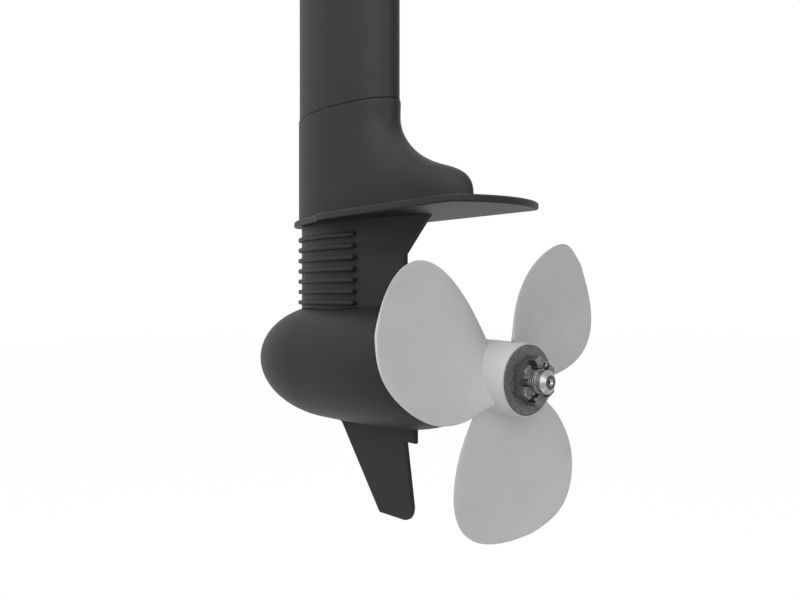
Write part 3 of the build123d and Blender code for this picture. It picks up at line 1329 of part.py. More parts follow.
# Clamp pad and clamp screw, port side first
with BuildPart() as port_pad:
    with Locations(Plane(origin=(CLAMP_X, CLAMP_PAD_Y, CLAMP_Z), z_dir=(0, -1, 0))):
        Cylinder(
            CLAMP_PAD_R, CLAMP_PAD_THICK, align=(Align.CENTER, Align.CENTER, Align.MIN)
        )
    chamfer(port_pad.edges().group_by(Axis.Y)[0], CLAMP_PAD_THICK / 3)
    with Locations(Plane(origin=(CLAMP_X, CLAMP_PAD_Y - CLAMP_PAD_THICK, CLAMP_Z), z_dir=(0, 1, 0))):
        Cylinder(
            CLAMP_SCREW_R + RUNNING,
            CLAMP_TIP + SEAT,
            align=(Align.CENTER, Align.CENTER, Align.MIN),
            mode=Mode.SUBTRACT,
        )

port_pad.part.label = "port_pad"
export_step(port_pad.part, "parts/port_pad.step")

screw_tip_y = CLAMP_PAD_Y - CLAMP_PAD_THICK + CLAMP_TIP
with BuildPart() as port_clamp_screw:
    with Locations(Plane(origin=(CLAMP_X, screw_tip_y, CLAMP_Z), z_dir=(0, -1, 0))):
        Cylinder(
            CLAMP_SCREW_R,
            screw_tip_y - CLAMP_SCREW_FRONT_Y,
            align=(Align.CENTER, Align.CENTER, Align.MIN),
        )
    with Locations(Plane(origin=(CLAMP_X, CLAMP_SCREW_FRONT_Y, CLAMP_Z), z_dir=(0, 1, 0))):
        Cylinder(CLAMP_HEAD_R, CLAMP_HEAD)
    with Locations(Plane(origin=(CLAMP_X, CLAMP_SCREW_FRONT_Y, CLAMP_Z), z_dir=(1, 0, 0))):
        Cylinder(CLAMP_BAR_R, 2 * CLAMP_BAR_HALF)
    for side in (1, -1):
        bar_end = (CLAMP_X + side * CLAMP_BAR_HALF, CLAMP_SCREW_FRONT_Y, CLAMP_Z)
        with Locations(Plane(origin=bar_end, z_dir=(1, 0, 0))):
            Cylinder(CLAMP_BAR_END_R, 2 * CLAMP_BAR_R)

port_clamp_screw.part.label = "port_clamp_screw"
export_step(port_clamp_screw.part, "parts/port_clamp_screw.step")

with BuildPart() as starboard_pad:
    add(port_pad.part.mirror(Plane.YZ))

starboard_pad.part.label = "starboard_pad"
export_step(starboard_pad.part, "parts/starboard_pad.step")

with BuildPart() as starboard_clamp_screw:
    add(port_clamp_screw.part.mirror(Plane.YZ))

starboard_clamp_screw.part.label = "starboard_clamp_screw"
export_step(starboard_clamp_screw.part, "parts/starboard_clamp_screw.step")

# Head base: tray on top of the leg, with a collar below and a pad in front for the tiller
screw_places = [
    (side * COVER_SCREW_X, HEAD_Y + end * COVER_SCREW_Y) for side in (1, -1) for end in (1, -1)
]
post_places = [
    (side * CONTROLLER_POST_X, HEAD_Y + end * CONTROLLER_POST_Y)
    for side in (1, -1)
    for end in (1, -1)
]
with BuildPart() as head_base:
    with BuildSketch(Plane.XY.offset(HEAD_BASE_Z)):
        with Locations((0, HEAD_Y)):
            RectangleRounded(HEAD_WIDTH, HEAD_LENGTH, HEAD_CORNER_R)
    extrude(amount=HEAD_SPLIT_Z - HEAD_BASE_Z)
    chamfer(head_base.faces().sort_by(Axis.Z)[0].edges(), HEAD_BASE_CHAMFER)
    with BuildSketch(Plane.XY.offset(HEAD_BASE_Z + HEAD_FLOOR)):
        with Locations((0, HEAD_Y)):
            RectangleRounded(
                HEAD_WIDTH - 2 * HEAD_WALL, HEAD_LENGTH - 2 * HEAD_WALL, HEAD_CORNER_R - HEAD_WALL
            )
    extrude(amount=HEAD_SPLIT_Z - HEAD_BASE_Z - HEAD_FLOOR, mode=Mode.SUBTRACT)
    with BuildSketch(Plane.XY.offset(HEAD_BASE_Z)):
        with Locations(*screw_places):
            Circle(COVER_BOSS_R)
    extrude(amount=HEAD_SPLIT_Z - HEAD_BASE_Z + HEAD_SEAL)
    with BuildSketch(Plane.XY.offset(HEAD_BASE_Z + HEAD_FLOOR)):
        with Locations(*post_places):
            Circle(COVER_BOSS_R)
    extrude(amount=CONTROLLER_Z - HEAD_BASE_Z - HEAD_FLOOR)
    with BuildSketch(Plane.XY.offset(HEAD_BASE_Z)):
        with Locations((0, LEG_Y)):
            Ellipse(
                LEG_THICK / 2 + HEAD_COLLAR_WALL + NEST, LEG_DEEP / 2 + HEAD_COLLAR_WALL + NEST
            )
            Ellipse(LEG_THICK / 2 + NEST, LEG_DEEP / 2 + NEST, mode=Mode.SUBTRACT)
    extrude(amount=-HEAD_COLLAR)
    with Locations((0, TILLER_PAD_Y, TILLER_PLATE_LOW_Z)):
        Box(
            2 * TILLER_PAD_HALF,
            HEAD_FRONT_Y + 2 * HEAD_WALL - TILLER_PAD_Y,
            TILLER_PLATE_TOP_Z - TILLER_PLATE_LOW_Z,
            align=(Align.CENTER, Align.MIN, Align.MIN),
        )
    # cable, tie rods and screws pass the floor
    with BuildSketch(Plane.XY.offset(HEAD_BASE_Z)):
        with Locations((0, CABLE_Y)):
            Circle(CABLE_CHANNEL_R)
        for rod_y in TIE_ROD_Y:
            with Locations((0, rod_y)):
                Circle(TIE_ROD_R + SEAT)
    extrude(amount=HEAD_FLOOR, mode=Mode.SUBTRACT)
    with BuildSketch(Plane.XY.offset(HEAD_BASE_Z)):
        with Locations(*screw_places):
            Circle(COVER_SCREW_HEAD_R + NEST)
    extrude(amount=COVER_SCREW_HEAD, mode=Mode.SUBTRACT)
    with BuildSketch(Plane.XY.offset(HEAD_BASE_Z)):
        with Locations(*screw_places):
            Circle(COVER_SCREW_R + SLIP)
    extrude(amount=HEAD_SPLIT_Z - HEAD_BASE_Z + HEAD_SEAL, mode=Mode.SUBTRACT)

head_base.part.label = "head_base"
export_step(head_base.part, "parts/head_base.step")

# Seal between base and cover
cover_z = HEAD_SPLIT_Z + HEAD_SEAL
with BuildPart() as cover_seal:
    with BuildSketch(Plane.XY.offset(HEAD_SPLIT_Z)):
        with Locations((0, HEAD_Y)):
            RectangleRounded(
                HEAD_WIDTH - 2 * NEST, HEAD_LENGTH - 2 * NEST, HEAD_CORNER_R - NEST
            )
            RectangleRounded(
                HEAD_WIDTH - 2 * HEAD_WALL + 2 * NEST,
                HEAD_LENGTH - 2 * HEAD_WALL + 2 * NEST,
                HEAD_CORNER_R - HEAD_WALL + NEST,
                mode=Mode.SUBTRACT,
            )
    extrude(amount=HEAD_SEAL)

cover_seal.part.label = "cover_seal"
export_step(cover_seal.part, "parts/cover_seal.step")

# Head cover: sides lean in, round top edge, four posts down to the base
with BuildPart() as head_cover:
    with BuildSketch(Plane.XY.offset(cover_z)):
        with Locations((0, HEAD_Y)):
            RectangleRounded(HEAD_WIDTH, HEAD_LENGTH, HEAD_CORNER_R)
    extrude(amount=HEAD_TOP_Z - cover_z, taper=HEAD_TAPER)
    fillet(head_cover.faces().sort_by(Axis.Z)[-1].edges(), HEAD_EDGE_R)
    with Locations(Plane(origin=(0, SOCKET_FACE_Y, SOCKET_Z), z_dir=(0, -1, 0))):
        Cylinder(SOCKET_PAD_R, SOCKET_LENGTH, align=(Align.CENTER, Align.CENTER, Align.MIN))
    with BuildPart(mode=Mode.PRIVATE) as cover_hollow:
        with BuildSketch(Plane.XY.offset(cover_z)):
            with Locations((0, HEAD_Y)):
                RectangleRounded(
                    HEAD_WIDTH - 2 * HEAD_WALL,
                    HEAD_LENGTH - 2 * HEAD_WALL,
                    HEAD_CORNER_R - HEAD_WALL,
                )
        extrude(amount=HEAD_TOP_Z - HEAD_WALL - cover_z, taper=HEAD_TAPER)
        fillet(cover_hollow.faces().sort_by(Axis.Z)[-1].edges(), HEAD_EDGE_R - HEAD_WALL)
    add(cover_hollow.part, mode=Mode.SUBTRACT)
    with BuildSketch(Plane.XY.offset(cover_z)):
        with Locations(*screw_places):
            Circle(COVER_BOSS_R)
    extrude(amount=HEAD_TOP_Z - HEAD_WALL - cover_z)
    with BuildSketch(Plane.XY.offset(cover_z)):
        with Locations(*screw_places):
            Circle(COVER_SCREW_R + SLIP)
    extrude(amount=COVER_SCREW_LENGTH, mode=Mode.SUBTRACT)
    with Locations(Plane(origin=(0, SOCKET_FACE_Y, SOCKET_Z), z_dir=(0, -1, 0))):
        Cylinder(SOCKET_R + NEST, 4 * SOCKET_LENGTH, mode=Mode.SUBTRACT)

head_cover.part.label = "head_cover"
export_step(head_cover.part, "parts/head_cover.step")

# Cover screws, up through the base
with BuildPart() as cover_screws:
    with BuildSketch(Plane.XY.offset(HEAD_BASE_Z + NEST)):
        with Locations(*screw_places):
            Circle(COVER_SCREW_HEAD_R)
            RegularPolygon(COVER_SCREW_R, 6, mode=Mode.SUBTRACT)
    extrude(amount=COVER_SCREW_HEAD - 2 * NEST)
    with BuildSketch(Plane.XY.offset(HEAD_BASE_Z + COVER_SCREW_HEAD - 2 * NEST)):
        with Locations(*screw_places):
            Circle(COVER_SCREW_HEAD_R)
    extrude(amount=2 * NEST)
    with BuildSketch(Plane.XY.offset(HEAD_BASE_Z + COVER_SCREW_HEAD)):
        with Locations(*screw_places):
            Circle(COVER_SCREW_R)
    extrude(amount=cover_z - HEAD_BASE_Z - COVER_SCREW_HEAD + COVER_SCREW_LENGTH - SEAT)

cover_screws.part.label = "cover_screws"
export_step(cover_screws.part, "parts/cover_screws.step")

# Controller on its posts, ribbed on top
with BuildPart() as controller:
    with Locations((0, HEAD_Y, CONTROLLER_Z)):
        Box(
            CONTROLLER_WIDTH,
            CONTROLLER_LENGTH,
            CONTROLLER_HEIGHT,
            align=(Align.CENTER, Align.CENTER, Align.MIN),
        )
    with BuildSketch(Plane.XY.offset(CONTROLLER_Z + CONTROLLER_HEIGHT - CONTROLLER_RIB_DEPTH)):
        with Locations((0, HEAD_Y)):
            with GridLocations(CONTROLLER_WIDTH / CONTROLLER_RIBS, 0, CONTROLLER_RIBS, 1):
                Rectangle(CONTROLLER_WIDTH / CONTROLLER_RIBS / 2, CONTROLLER_LENGTH)
    extrude(amount=CONTROLLER_RIB_DEPTH, mode=Mode.SUBTRACT)

controller.part.label = "controller"
export_step(controller.part, "parts/controller.step")

# Battery socket in the cover's rear
with BuildPart() as battery_socket:
    with Locations(Plane(origin=(0, SOCKET_FACE_Y, SOCKET_Z), z_dir=(0, 1, 0))):
        Cylinder(
            SOCKET_FLANGE_R, SOCKET_FLANGE, align=(Align.CENTER, Align.CENTER, Align.MIN)
        )
        Cylinder(SOCKET_R, SOCKET_LENGTH, align=(Align.CENTER, Align.CENTER, Align.MAX))
    chamfer(battery_socket.edges().group_by(Axis.Y)[-1], SOCKET_FLANGE / 4)
    with Locations(Plane(origin=(0, SOCKET_FACE_Y + SOCKET_FLANGE, SOCKET_Z), z_dir=(0, -1, 0))):
        Cylinder(
            SOCKET_BORE_R,
            SOCKET_DEPTH,
            align=(Align.CENTER, Align.CENTER, Align.MIN),
            mode=Mode.SUBTRACT,
        )
    # two contact holes in the socket's floor
    floor_y = SOCKET_FACE_Y + SOCKET_FLANGE - SOCKET_DEPTH
    for side in (1, -1):
        with Locations(Plane(origin=(side * SOCKET_CONTACT_X, floor_y, SOCKET_Z), z_dir=(0, -1, 0))):
            Cylinder(
                SOCKET_CONTACT_R,
                SOCKET_CONTACT_DEPTH,
                align=(Align.CENTER, Align.CENTER, Align.MIN),
                mode=Mode.SUBTRACT,
            )

battery_socket.part.label = "battery_socket"
export_step(battery_socket.part, "parts/battery_socket.step")

# Carrying handle on top of the cover
with BuildPart() as carry_handle:
    with BuildLine(Plane.YZ) as handle_run:
        FilletPolyline(
            (HEAD_Y - HANDLE_LENGTH / 2, HEAD_TOP_Z),
            (HEAD_Y - HANDLE_LENGTH / 2, HEAD_TOP_Z + HANDLE_HEIGHT),
            (HEAD_Y + HANDLE_LENGTH / 2, HEAD_TOP_Z + HANDLE_HEIGHT),
            (HEAD_Y + HANDLE_LENGTH / 2, HEAD_TOP_Z),
            radius=HANDLE_BEND_R,
        )
    with BuildSketch(Plane(origin=handle_run.line @ 0, z_dir=(0, 0, 1))):
        Circle(HANDLE_R)
    sweep(path=handle_run.line)
    for end in (1, -1):
        with Locations((0, HEAD_Y + end * HANDLE_LENGTH / 2, HEAD_TOP_Z)):
            Cylinder(HANDLE_FOOT_R, HANDLE_FOOT, align=(Align.CENTER, Align.CENTER, Align.MIN))

carry_handle.part.label = "carry_handle"
export_step(carry_handle.part, "parts/carry_handle.step")

# Tiller bracket: plate on the base's pad, two ears and a stop under the arm
ear_outer = TILLER_HALF + SEAT + TILLER_EAR
with BuildPart() as tiller_bracket:
    with BuildSketch(Plane.YZ):
        add(
            side_profile(
                (TILLER_PAD_Y, TILLER_PLATE_LOW_Z),
                (TILLER_PAD_Y, TILLER_PLATE_TOP_Z),
                (TILLER_PIVOT_Y + TILLER_EAR_R, TILLER_PIVOT_Z),
                (TILLER_PIVOT_Y - TILLER_EAR_R, TILLER_PIVOT_Z),
                (TILLER_STOP_FRONT_Y, TILLER_PIVOT_Z - 2 * TILLER_ARM_HALF_HIGH),
                (TILLER_PAD_Y - TILLER_PLATE, TILLER_PLATE_LOW_Z),
            )
        )
        with Locations((TILLER_PIVOT_Y, TILLER_PIVOT_Z)):
            Circle(TILLER_EAR_R)
    extrude(amount=ear_outer, both=True)
    stop_z = TILLER_PIVOT_Z - TILLER_ARM_HALF_HIGH - SEAT
    with BuildSketch(Plane.YZ):
        with Locations((TILLER_PAD_Y, stop_z)):
            Rectangle(CUT_REACH, CUT_REACH, align=(Align.CENTER, Align.MIN))
    extrude(amount=TILLER_HALF + SEAT, both=True, mode=Mode.SUBTRACT)
    with Locations(Plane(origin=(0, TILLER_PIVOT_Y, TILLER_PIVOT_Z), z_dir=(1, 0, 0))):
        Cylinder(TILLER_PIN_R + SLIP, 4 * ear_outer, mode=Mode.SUBTRACT)

tiller_bracket.part.label = "tiller_bracket"
export_step(tiller_bracket.part, "parts/tiller_bracket.step")

# Tiller pin, headed at both ends
with BuildPart() as tiller_pin:
    with BuildSketch(Plane.YZ.offset(-ear_outer)):
        with Locations((TILLER_PIVOT_Y, TILLER_PIVOT_Z)):
            Circle(TILLER_PIN_R)
    extrude(amount=2 * ear_outer)
    for side in (1, -1):
        with BuildSketch(Plane.YZ.offset(side * ear_outer)):
            with Locations((TILLER_PIVOT_Y, TILLER_PIVOT_Z)):
                Circle(TILLER_PIN_HEAD_R)
        extrude(amount=side * TILLER_PIN_R / 2)

tiller_pin.part.label = "tiller_pin"
export_step(tiller_pin.part, "parts/tiller_pin.step")

# Tiller arm
arm_top_z = TILLER_PIVOT_Z + TILLER_ARM_HALF_HIGH
with BuildPart() as tiller_arm:
    with BuildSketch(Plane.YZ):
        with Locations((TILLER_PIVOT_Y, TILLER_PIVOT_Z)):
            Circle(TILLER_ARM_HALF_HIGH)
            Rectangle(
                TILLER_PIVOT_Y - TILLER_ARM_FRONT_Y,
                2 * TILLER_ARM_HALF_HIGH,
                align=(Align.MAX, Align.CENTER),
            )
    extrude(amount=TILLER_HALF, both=True)
    fillet(tiller_arm.edges().filter_by(Axis.Y), TILLER_HALF / 4)
    with Locations(Plane(origin=(0, TILLER_PIVOT_Y, TILLER_PIVOT_Z), z_dir=(1, 0, 0))):
        Cylinder(TILLER_PIN_R + RUNNING, 4 * TILLER_HALF, mode=Mode.SUBTRACT)
    with BuildSketch(Plane.XZ.offset(-TILLER_TUBE_REAR_Y)):
        with Locations((0, TILLER_PIVOT_Z)):
            Circle(TILLER_TUBE_R + RUNNING)
    extrude(amount=TILLER_TUBE_REAR_Y - TILLER_ARM_FRONT_Y, mode=Mode.SUBTRACT)
    with Locations((0, KEY_Y, arm_top_z)):
        Cylinder(KEY_STEM_R + RUNNING, 2 * KEY_STEM, mode=Mode.SUBTRACT)

tiller_arm.part.label = "tiller_arm"
export_step(tiller_arm.part, "parts/tiller_arm.step")

with BuildPart() as tiller_tube:
    with BuildSketch(Plane.XZ.offset(-TILLER_TUBE_REAR_Y)):
        with Locations((0, TILLER_PIVOT_Z)):
            Circle(TILLER_TUBE_R)
            Circle(TILLER_TUBE_BORE_R, mode=Mode.SUBTRACT)
    extrude(amount=TILLER_TUBE_REAR_Y - TILLER_TUBE_END_Y)
    with Locations((0, KEY_Y, arm_top_z)):
        Cylinder(KEY_STEM_R + SEAT, 2 * KEY_STEM, mode=Mode.SUBTRACT)

tiller_tube.part.label = "tiller_tube"
export_step(tiller_tube.part, "parts/tiller_tube.step")

# Twist grip, fluted, closed at its front end
with BuildPart() as twist_grip:
    with BuildSketch(Plane.XZ.offset(-GRIP_REAR_Y)):
        with Locations((0, TILLER_PIVOT_Z)):
            Circle(GRIP_R)
            with PolarLocations(GRIP_R, GRIP_FLUTES):
                Circle(GRIP_FLUTE_R, mode=Mode.SUBTRACT)
    extrude(amount=GRIP_REAR_Y - GRIP_FRONT_Y)
    with BuildSketch(Plane.XZ.offset(-GRIP_REAR_Y)):
        with Locations((0, TILLER_PIVOT_Z)):
            Circle(TILLER_TUBE_R + RUNNING)
    extrude(amount=GRIP_REAR_Y - TILLER_TUBE_END_Y + SEAT, mode=Mode.SUBTRACT)

twist_grip.part.label = "twist_grip"
export_step(twist_grip.part, "parts/twist_grip.step")

# Display on the arm, its window, the power button and the safety key
display_top_z = arm_top_z + DISPLAY_THICK
with BuildPart() as display:
    with BuildSketch(Plane.XY.offset(arm_top_z)):
        with Locations((0, DISPLAY_Y)):
            RectangleRounded(2 * TILLER_HALF, DISPLAY_LENGTH, TILLER_HALF / 3)
    extrude(amount=DISPLAY_THICK)
    chamfer(display.faces().sort_by(Axis.Z)[-1].edges(), DISPLAY_THICK / 6)
    with BuildSketch(Plane.XY.offset(display_top_z - WINDOW_THICK)):
        with Locations((0, WINDOW_Y)):
            RectangleRounded(WINDOW_WIDTH + 2 * SLIP, WINDOW_LENGTH + 2 * SLIP, WINDOW_THICK)
    extrude(amount=WINDOW_THICK, mode=Mode.SUBTRACT)
    with BuildSketch(Plane.XY.offset(display_top_z - BUTTON_HEIGHT)):
        with Locations((0, BUTTON_Y)):
            Circle(BUTTON_R + RUNNING)
    extrude(amount=BUTTON_HEIGHT, mode=Mode.SUBTRACT)

display.part.label = "display"
export_step(display.part, "parts/display.step")

with BuildPart() as display_window:
    with BuildSketch(Plane.XY.offset(display_top_z - WINDOW_THICK)):
        with Locations((0, WINDOW_Y)):
            RectangleRounded(WINDOW_WIDTH, WINDOW_LENGTH, WINDOW_THICK)
    extrude(amount=WINDOW_THICK)

display_window.part.label = "display_window"
export_step(display_window.part, "parts/display_window.step")

with BuildPart() as power_button:
    with BuildSketch(Plane.XY.offset(display_top_z - BUTTON_HEIGHT + BUTTON_PROUD)):
        with Locations((0, BUTTON_Y)):
            Circle(BUTTON_R)
    extrude(amount=BUTTON_HEIGHT)
    chamfer(power_button.faces().sort_by(Axis.Z)[-1].edges(), BUTTON_PROUD / 4)

power_button.part.label = "power_button"
export_step(power_button.part, "parts/power_button.step")

with BuildPart() as safety_key:
    with BuildSketch(Plane.XY.offset(arm_top_z + SEAT)):
        with Locations((0, KEY_Y)):
            Circle(KEY_R)
    extrude(amount=KEY_THICK)
    chamfer(safety_key.faces().sort_by(Axis.Z)[-1].edges(), KEY_THICK / 4)
    with BuildSketch(Plane.XY.offset(arm_top_z + SEAT)):
        with Locations((0, KEY_Y)):
            Circle(KEY_STEM_R)
    extrude(amount=-KEY_STEM + 2 * SEAT)

safety_key.part.label = "safety_key"
export_step(safety_key.part, "parts/safety_key.step")

print("all pieces written")
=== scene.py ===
import json
import math

import bmesh
import bpy
from mathutils import Matrix, Vector


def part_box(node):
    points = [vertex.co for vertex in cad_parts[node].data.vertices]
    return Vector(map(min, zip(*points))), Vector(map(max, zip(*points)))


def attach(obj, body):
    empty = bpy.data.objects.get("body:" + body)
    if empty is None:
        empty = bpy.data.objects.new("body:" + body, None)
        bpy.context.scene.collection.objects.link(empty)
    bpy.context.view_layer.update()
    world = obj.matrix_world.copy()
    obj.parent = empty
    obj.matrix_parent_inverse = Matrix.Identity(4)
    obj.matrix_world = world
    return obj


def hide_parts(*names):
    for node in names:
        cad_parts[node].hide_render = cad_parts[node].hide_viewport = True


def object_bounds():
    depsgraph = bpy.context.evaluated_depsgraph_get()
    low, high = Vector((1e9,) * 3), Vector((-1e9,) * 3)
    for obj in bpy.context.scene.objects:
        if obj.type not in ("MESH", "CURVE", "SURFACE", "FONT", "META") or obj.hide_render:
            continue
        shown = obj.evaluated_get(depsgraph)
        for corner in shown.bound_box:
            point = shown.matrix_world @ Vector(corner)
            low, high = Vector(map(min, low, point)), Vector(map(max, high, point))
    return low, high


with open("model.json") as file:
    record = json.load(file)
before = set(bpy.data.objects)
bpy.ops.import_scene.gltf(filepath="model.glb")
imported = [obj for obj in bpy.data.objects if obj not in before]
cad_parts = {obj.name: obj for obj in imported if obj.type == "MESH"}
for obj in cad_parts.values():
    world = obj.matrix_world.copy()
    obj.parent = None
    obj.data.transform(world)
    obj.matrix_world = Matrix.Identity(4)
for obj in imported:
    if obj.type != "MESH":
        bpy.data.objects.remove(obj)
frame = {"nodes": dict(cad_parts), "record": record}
cad_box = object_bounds()

MM = 0.001
nodes = frame["nodes"]

# The middle of the propeller on the motor shaft's line
washer_low, washer_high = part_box("hub_washer")
SHAFT_Z = (washer_low.z + washer_high.z) / 2
PROP_Y = 426.65 * MM
SHAFT = Vector((0, PROP_Y, SHAFT_Z))


# Finishes

NOISE_LOW = 0.3             # noise seldom leaves the span between these two
NOISE_HIGH = 0.7
FACE_SHADE_START = 0.3 * MM  # before the shaft's end face, where its painted shade begins
FACE_SHADE_END = 0.1 * MM


def finish(name, colour, roughness, metallic=0.0, gloss=0.5):
    """A material with one surface shader, its nodes and links."""
    material = bpy.data.materials.new(name)
    material.use_nodes = True
    tree = material.node_tree
    surface = tree.nodes["Principled BSDF"]
    surface.inputs["Base Color"].default_value = (*colour, 1)
    surface.inputs["Roughness"].default_value = roughness
    surface.inputs["Metallic"].default_value = metallic
    surface.inputs["Specular IOR Level"].default_value = gloss
    return material, tree.nodes, tree.links, surface


def object_noise(tree_nodes, links, scale, detail=3.0, stretch=(1, 1, 1)):
    """Noise fixed to the piece, drawn out along an axis whose stretch is under 1."""
    place = tree_nodes.new("ShaderNodeTexCoord")
    mapping = tree_nodes.new("ShaderNodeMapping")
    mapping.inputs["Scale"].default_value = stretch
    noise = tree_nodes.new("ShaderNodeTexNoise")
    noise.inputs["Scale"].default_value = scale
    noise.inputs["Detail"].default_value = detail
    links.new(place.outputs["Object"], mapping.inputs["Vector"])
    links.new(mapping.outputs["Vector"], noise.inputs["Vector"])
    return noise.outputs["Fac"]


def spread(tree_nodes, links, value, start, end):
    """The middle of the noise stretched over a span of roughness or tone."""
    span = tree_nodes.new("ShaderNodeMapRange")
    span.inputs["From Min"].default_value = NOISE_LOW
    span.inputs["From Max"].default_value = NOISE_HIGH
    span.inputs["To Min"].default_value = start
    span.inputs["To Max"].default_value = end
    links.new(value, span.inputs["Value"])
    return span.outputs["Result"]


def uneven_roughness(tree_nodes, links, surface, value, start, end):
    """Roughness that follows the noise."""
    links.new(spread(tree_nodes, links, value, start, end), surface.inputs["Roughness"])


def relief(tree_nodes, links, surface, height, depth, strength):
    """Bump on the surface shader from a height."""
    bump = tree_nodes.new("ShaderNodeBump")
    bump.inputs["Distance"].default_value = depth
    bump.inputs["Strength"].default_value = strength
    links.new(height, bump.inputs["Height"])
    links.new(bump.outputs["Normal"], surface.inputs["Normal"])


def two_tone(tree_nodes, links, surface, value, dark, light):
    """Base colour between two tones."""
    mix = tree_nodes.new("ShaderNodeMix")
    mix.data_type = "RGBA"
    # By number, because the mix has sockets of the same names for other data
    mix.inputs[6].default_value = (*dark, 1)
    mix.inputs[7].default_value = (*light, 1)
    links.new(value, mix.inputs[0])
    links.new(mix.outputs[2], surface.inputs["Base Color"])


def powder_coat():
    """Satin black powder coat with a fine orange-peel grain."""
    material, tree_nodes, links, surface = finish(
        "satin powder coat", (0.016, 0.016, 0.017), roughness=0.5, gloss=0.2,
    )
    grain = object_noise(tree_nodes, links, scale=900.0)
    uneven_roughness(tree_nodes, links, surface, grain, 0.46, 0.56)
    relief(tree_nodes, links, surface, grain, depth=0.00012, strength=0.35)
    return material


def black_moulding():
    """Black moulded plastic, a little softer than the paint."""
    material, tree_nodes, links, surface = finish(
        "black moulding", (0.018, 0.018, 0.019), roughness=0.55, gloss=0.2,
    )
    grain = object_noise(tree_nodes, links, scale=1400.0)
    relief(tree_nodes, links, surface, grain, depth=0.0001, strength=0.4)
    return material


def propeller_moulding():
    """Pale grey composite, matt, faintly uneven."""
    material, tree_nodes, links, surface = finish(
        "propeller composite", (0.47, 0.47, 0.47), roughness=0.5, gloss=0.3,
    )
    cloud = object_noise(tree_nodes, links, scale=30.0)
    tone = spread(tree_nodes, links, cloud, 0.0, 1.0)
    two_tone(tree_nodes, links, surface, tone, (0.455, 0.455, 0.458), (0.485, 0.485, 0.488))
    grain = object_noise(tree_nodes, links, scale=1200.0)
    relief(tree_nodes, links, surface, grain, depth=0.0001, strength=0.25)
    return material


def zinc_plate():
    """Dull dark zinc with a fine mottle, as on the hub washer."""
    material, tree_nodes, links, surface = finish(
        "dull zinc", (0.1, 0.1, 0.1), roughness=0.6, metallic=0.35,
    )
    blotch = object_noise(tree_nodes, links, scale=330.0, detail=8.0)
    tone = spread(tree_nodes, links, blotch, 0.0, 1.0)
    two_tone(tree_nodes, links, surface, tone, (0.085, 0.085, 0.087), (0.155, 0.155, 0.158))
    uneven_roughness(tree_nodes, links, surface, blotch, 0.66, 0.5)
    relief(tree_nodes, links, surface, blotch, depth=0.0001, strength=0.35)
    return material


def mottled_steel():
    """Plain steel with patches of darker scale, as on the castle nut and its pin."""
    material, tree_nodes, links, surface = finish(
        "mottled steel", (0.3, 0.3, 0.3), roughness=0.4, metallic=0.85,
    )
    patches = object_noise(tree_nodes, links, scale=420.0, detail=6.0)
    tone = spread(tree_nodes, links, patches, 0.0, 1.0)
    two_tone(tree_nodes, links, surface, tone, (0.075, 0.075, 0.077), (0.21, 0.21, 0.213))
    uneven_roughness(tree_nodes, links, surface, patches, 0.5, 0.3)
    relief(tree_nodes, links, surface, patches, depth=0.00008, strength=0.4)
    return material


def turned_steel():
    """Stainless steel with fine tool marks."""
    material, tree_nodes, links, surface = finish(
        "turned steel", (0.4, 0.4, 0.405), roughness=0.36, metallic=1.0,
    )
    marks = object_noise(tree_nodes, links, scale=500.0, detail=4.0)
    uneven_roughness(tree_nodes, links, surface, marks, 0.3, 0.44)
    relief(tree_nodes, links, surface, marks, depth=0.00008, strength=0.3)
    return material


def shaft_steel_with_shaded_face():
    """Smoother steel of the motor shaft, its flat aft face darkened with painted shade."""
    material, tree_nodes, links, surface = finish(
        "shaft steel", (0.3, 0.3, 0.3), roughness=0.3, metallic=0.9,
    )
    place = tree_nodes.new("ShaderNodeTexCoord")
    parts = tree_nodes.new("ShaderNodeSeparateXYZ")
    links.new(place.outputs["Object"], parts.inputs["Vector"])
    end_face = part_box("motor_shaft")[1].y
    painted_face_shade = tree_nodes.new("ShaderNodeMapRange")
    painted_face_shade.inputs["From Min"].default_value = end_face - FACE_SHADE_START
    painted_face_shade.inputs["From Max"].default_value = end_face - FACE_SHADE_END
    links.new(parts.outputs["Y"], painted_face_shade.inputs["Value"])
    tone = painted_face_shade.outputs["Result"]
    # Painted shade: the flat aft face gets a darker colour for the shade it lies in
    two_tone(tree_nodes, links, surface, tone, (0.3, 0.3, 0.304), (0.085, 0.085, 0.087))
    marks = object_noise(tree_nodes, links, scale=500.0, detail=4.0)
    uneven_roughness(tree_nodes, links, surface, marks, 0.24, 0.38)
    relief(tree_nodes, links, surface, marks, depth=0.00005, strength=0.3)
    return material


def ground_steel():
    """Bearing steel."""
    return finish("ground steel", (0.62, 0.62, 0.64), roughness=0.18, metallic=1.0)[0]


def lamination():
    """Stacked sheets, seen as fine lines across the shaft."""
    material, tree_nodes, links, surface = finish(
        "laminations", (0.16, 0.16, 0.17), roughness=0.5, metallic=0.7,
    )
    place = tree_nodes.new("ShaderNodeTexCoord")
    sheets = tree_nodes.new("ShaderNodeTexWave")
    sheets.bands_direction = "Y"
    sheets.inputs["Scale"].default_value = 320.0
    links.new(place.outputs["Object"], sheets.inputs["Vector"])
    relief(tree_nodes, links, surface, sheets.outputs["Fac"], depth=0.0002, strength=0.6)
    return material


def copper_wire():
    """Enamelled winding wire, its strands along the shaft."""
    material, tree_nodes, links, surface = finish(
        "enamelled copper", (0.45, 0.17, 0.06), roughness=0.32, metallic=0.7,
    )
    strands = object_noise(tree_nodes, links, scale=240.0, detail=2.0, stretch=(1, 0.15, 1))
    relief(tree_nodes, links, surface, strands, depth=0.0008, strength=0.8)
    return material


def plated_magnet():
    """Nickel-plated magnet."""
    return finish("nickel plate", (0.6, 0.58, 0.54), roughness=0.22, metallic=1.0)[0]


def seal_rubber():
    """Black seal rubber."""
    return finish("seal rubber", (0.008, 0.008, 0.008), roughness=0.8, gloss=0.1)[0]


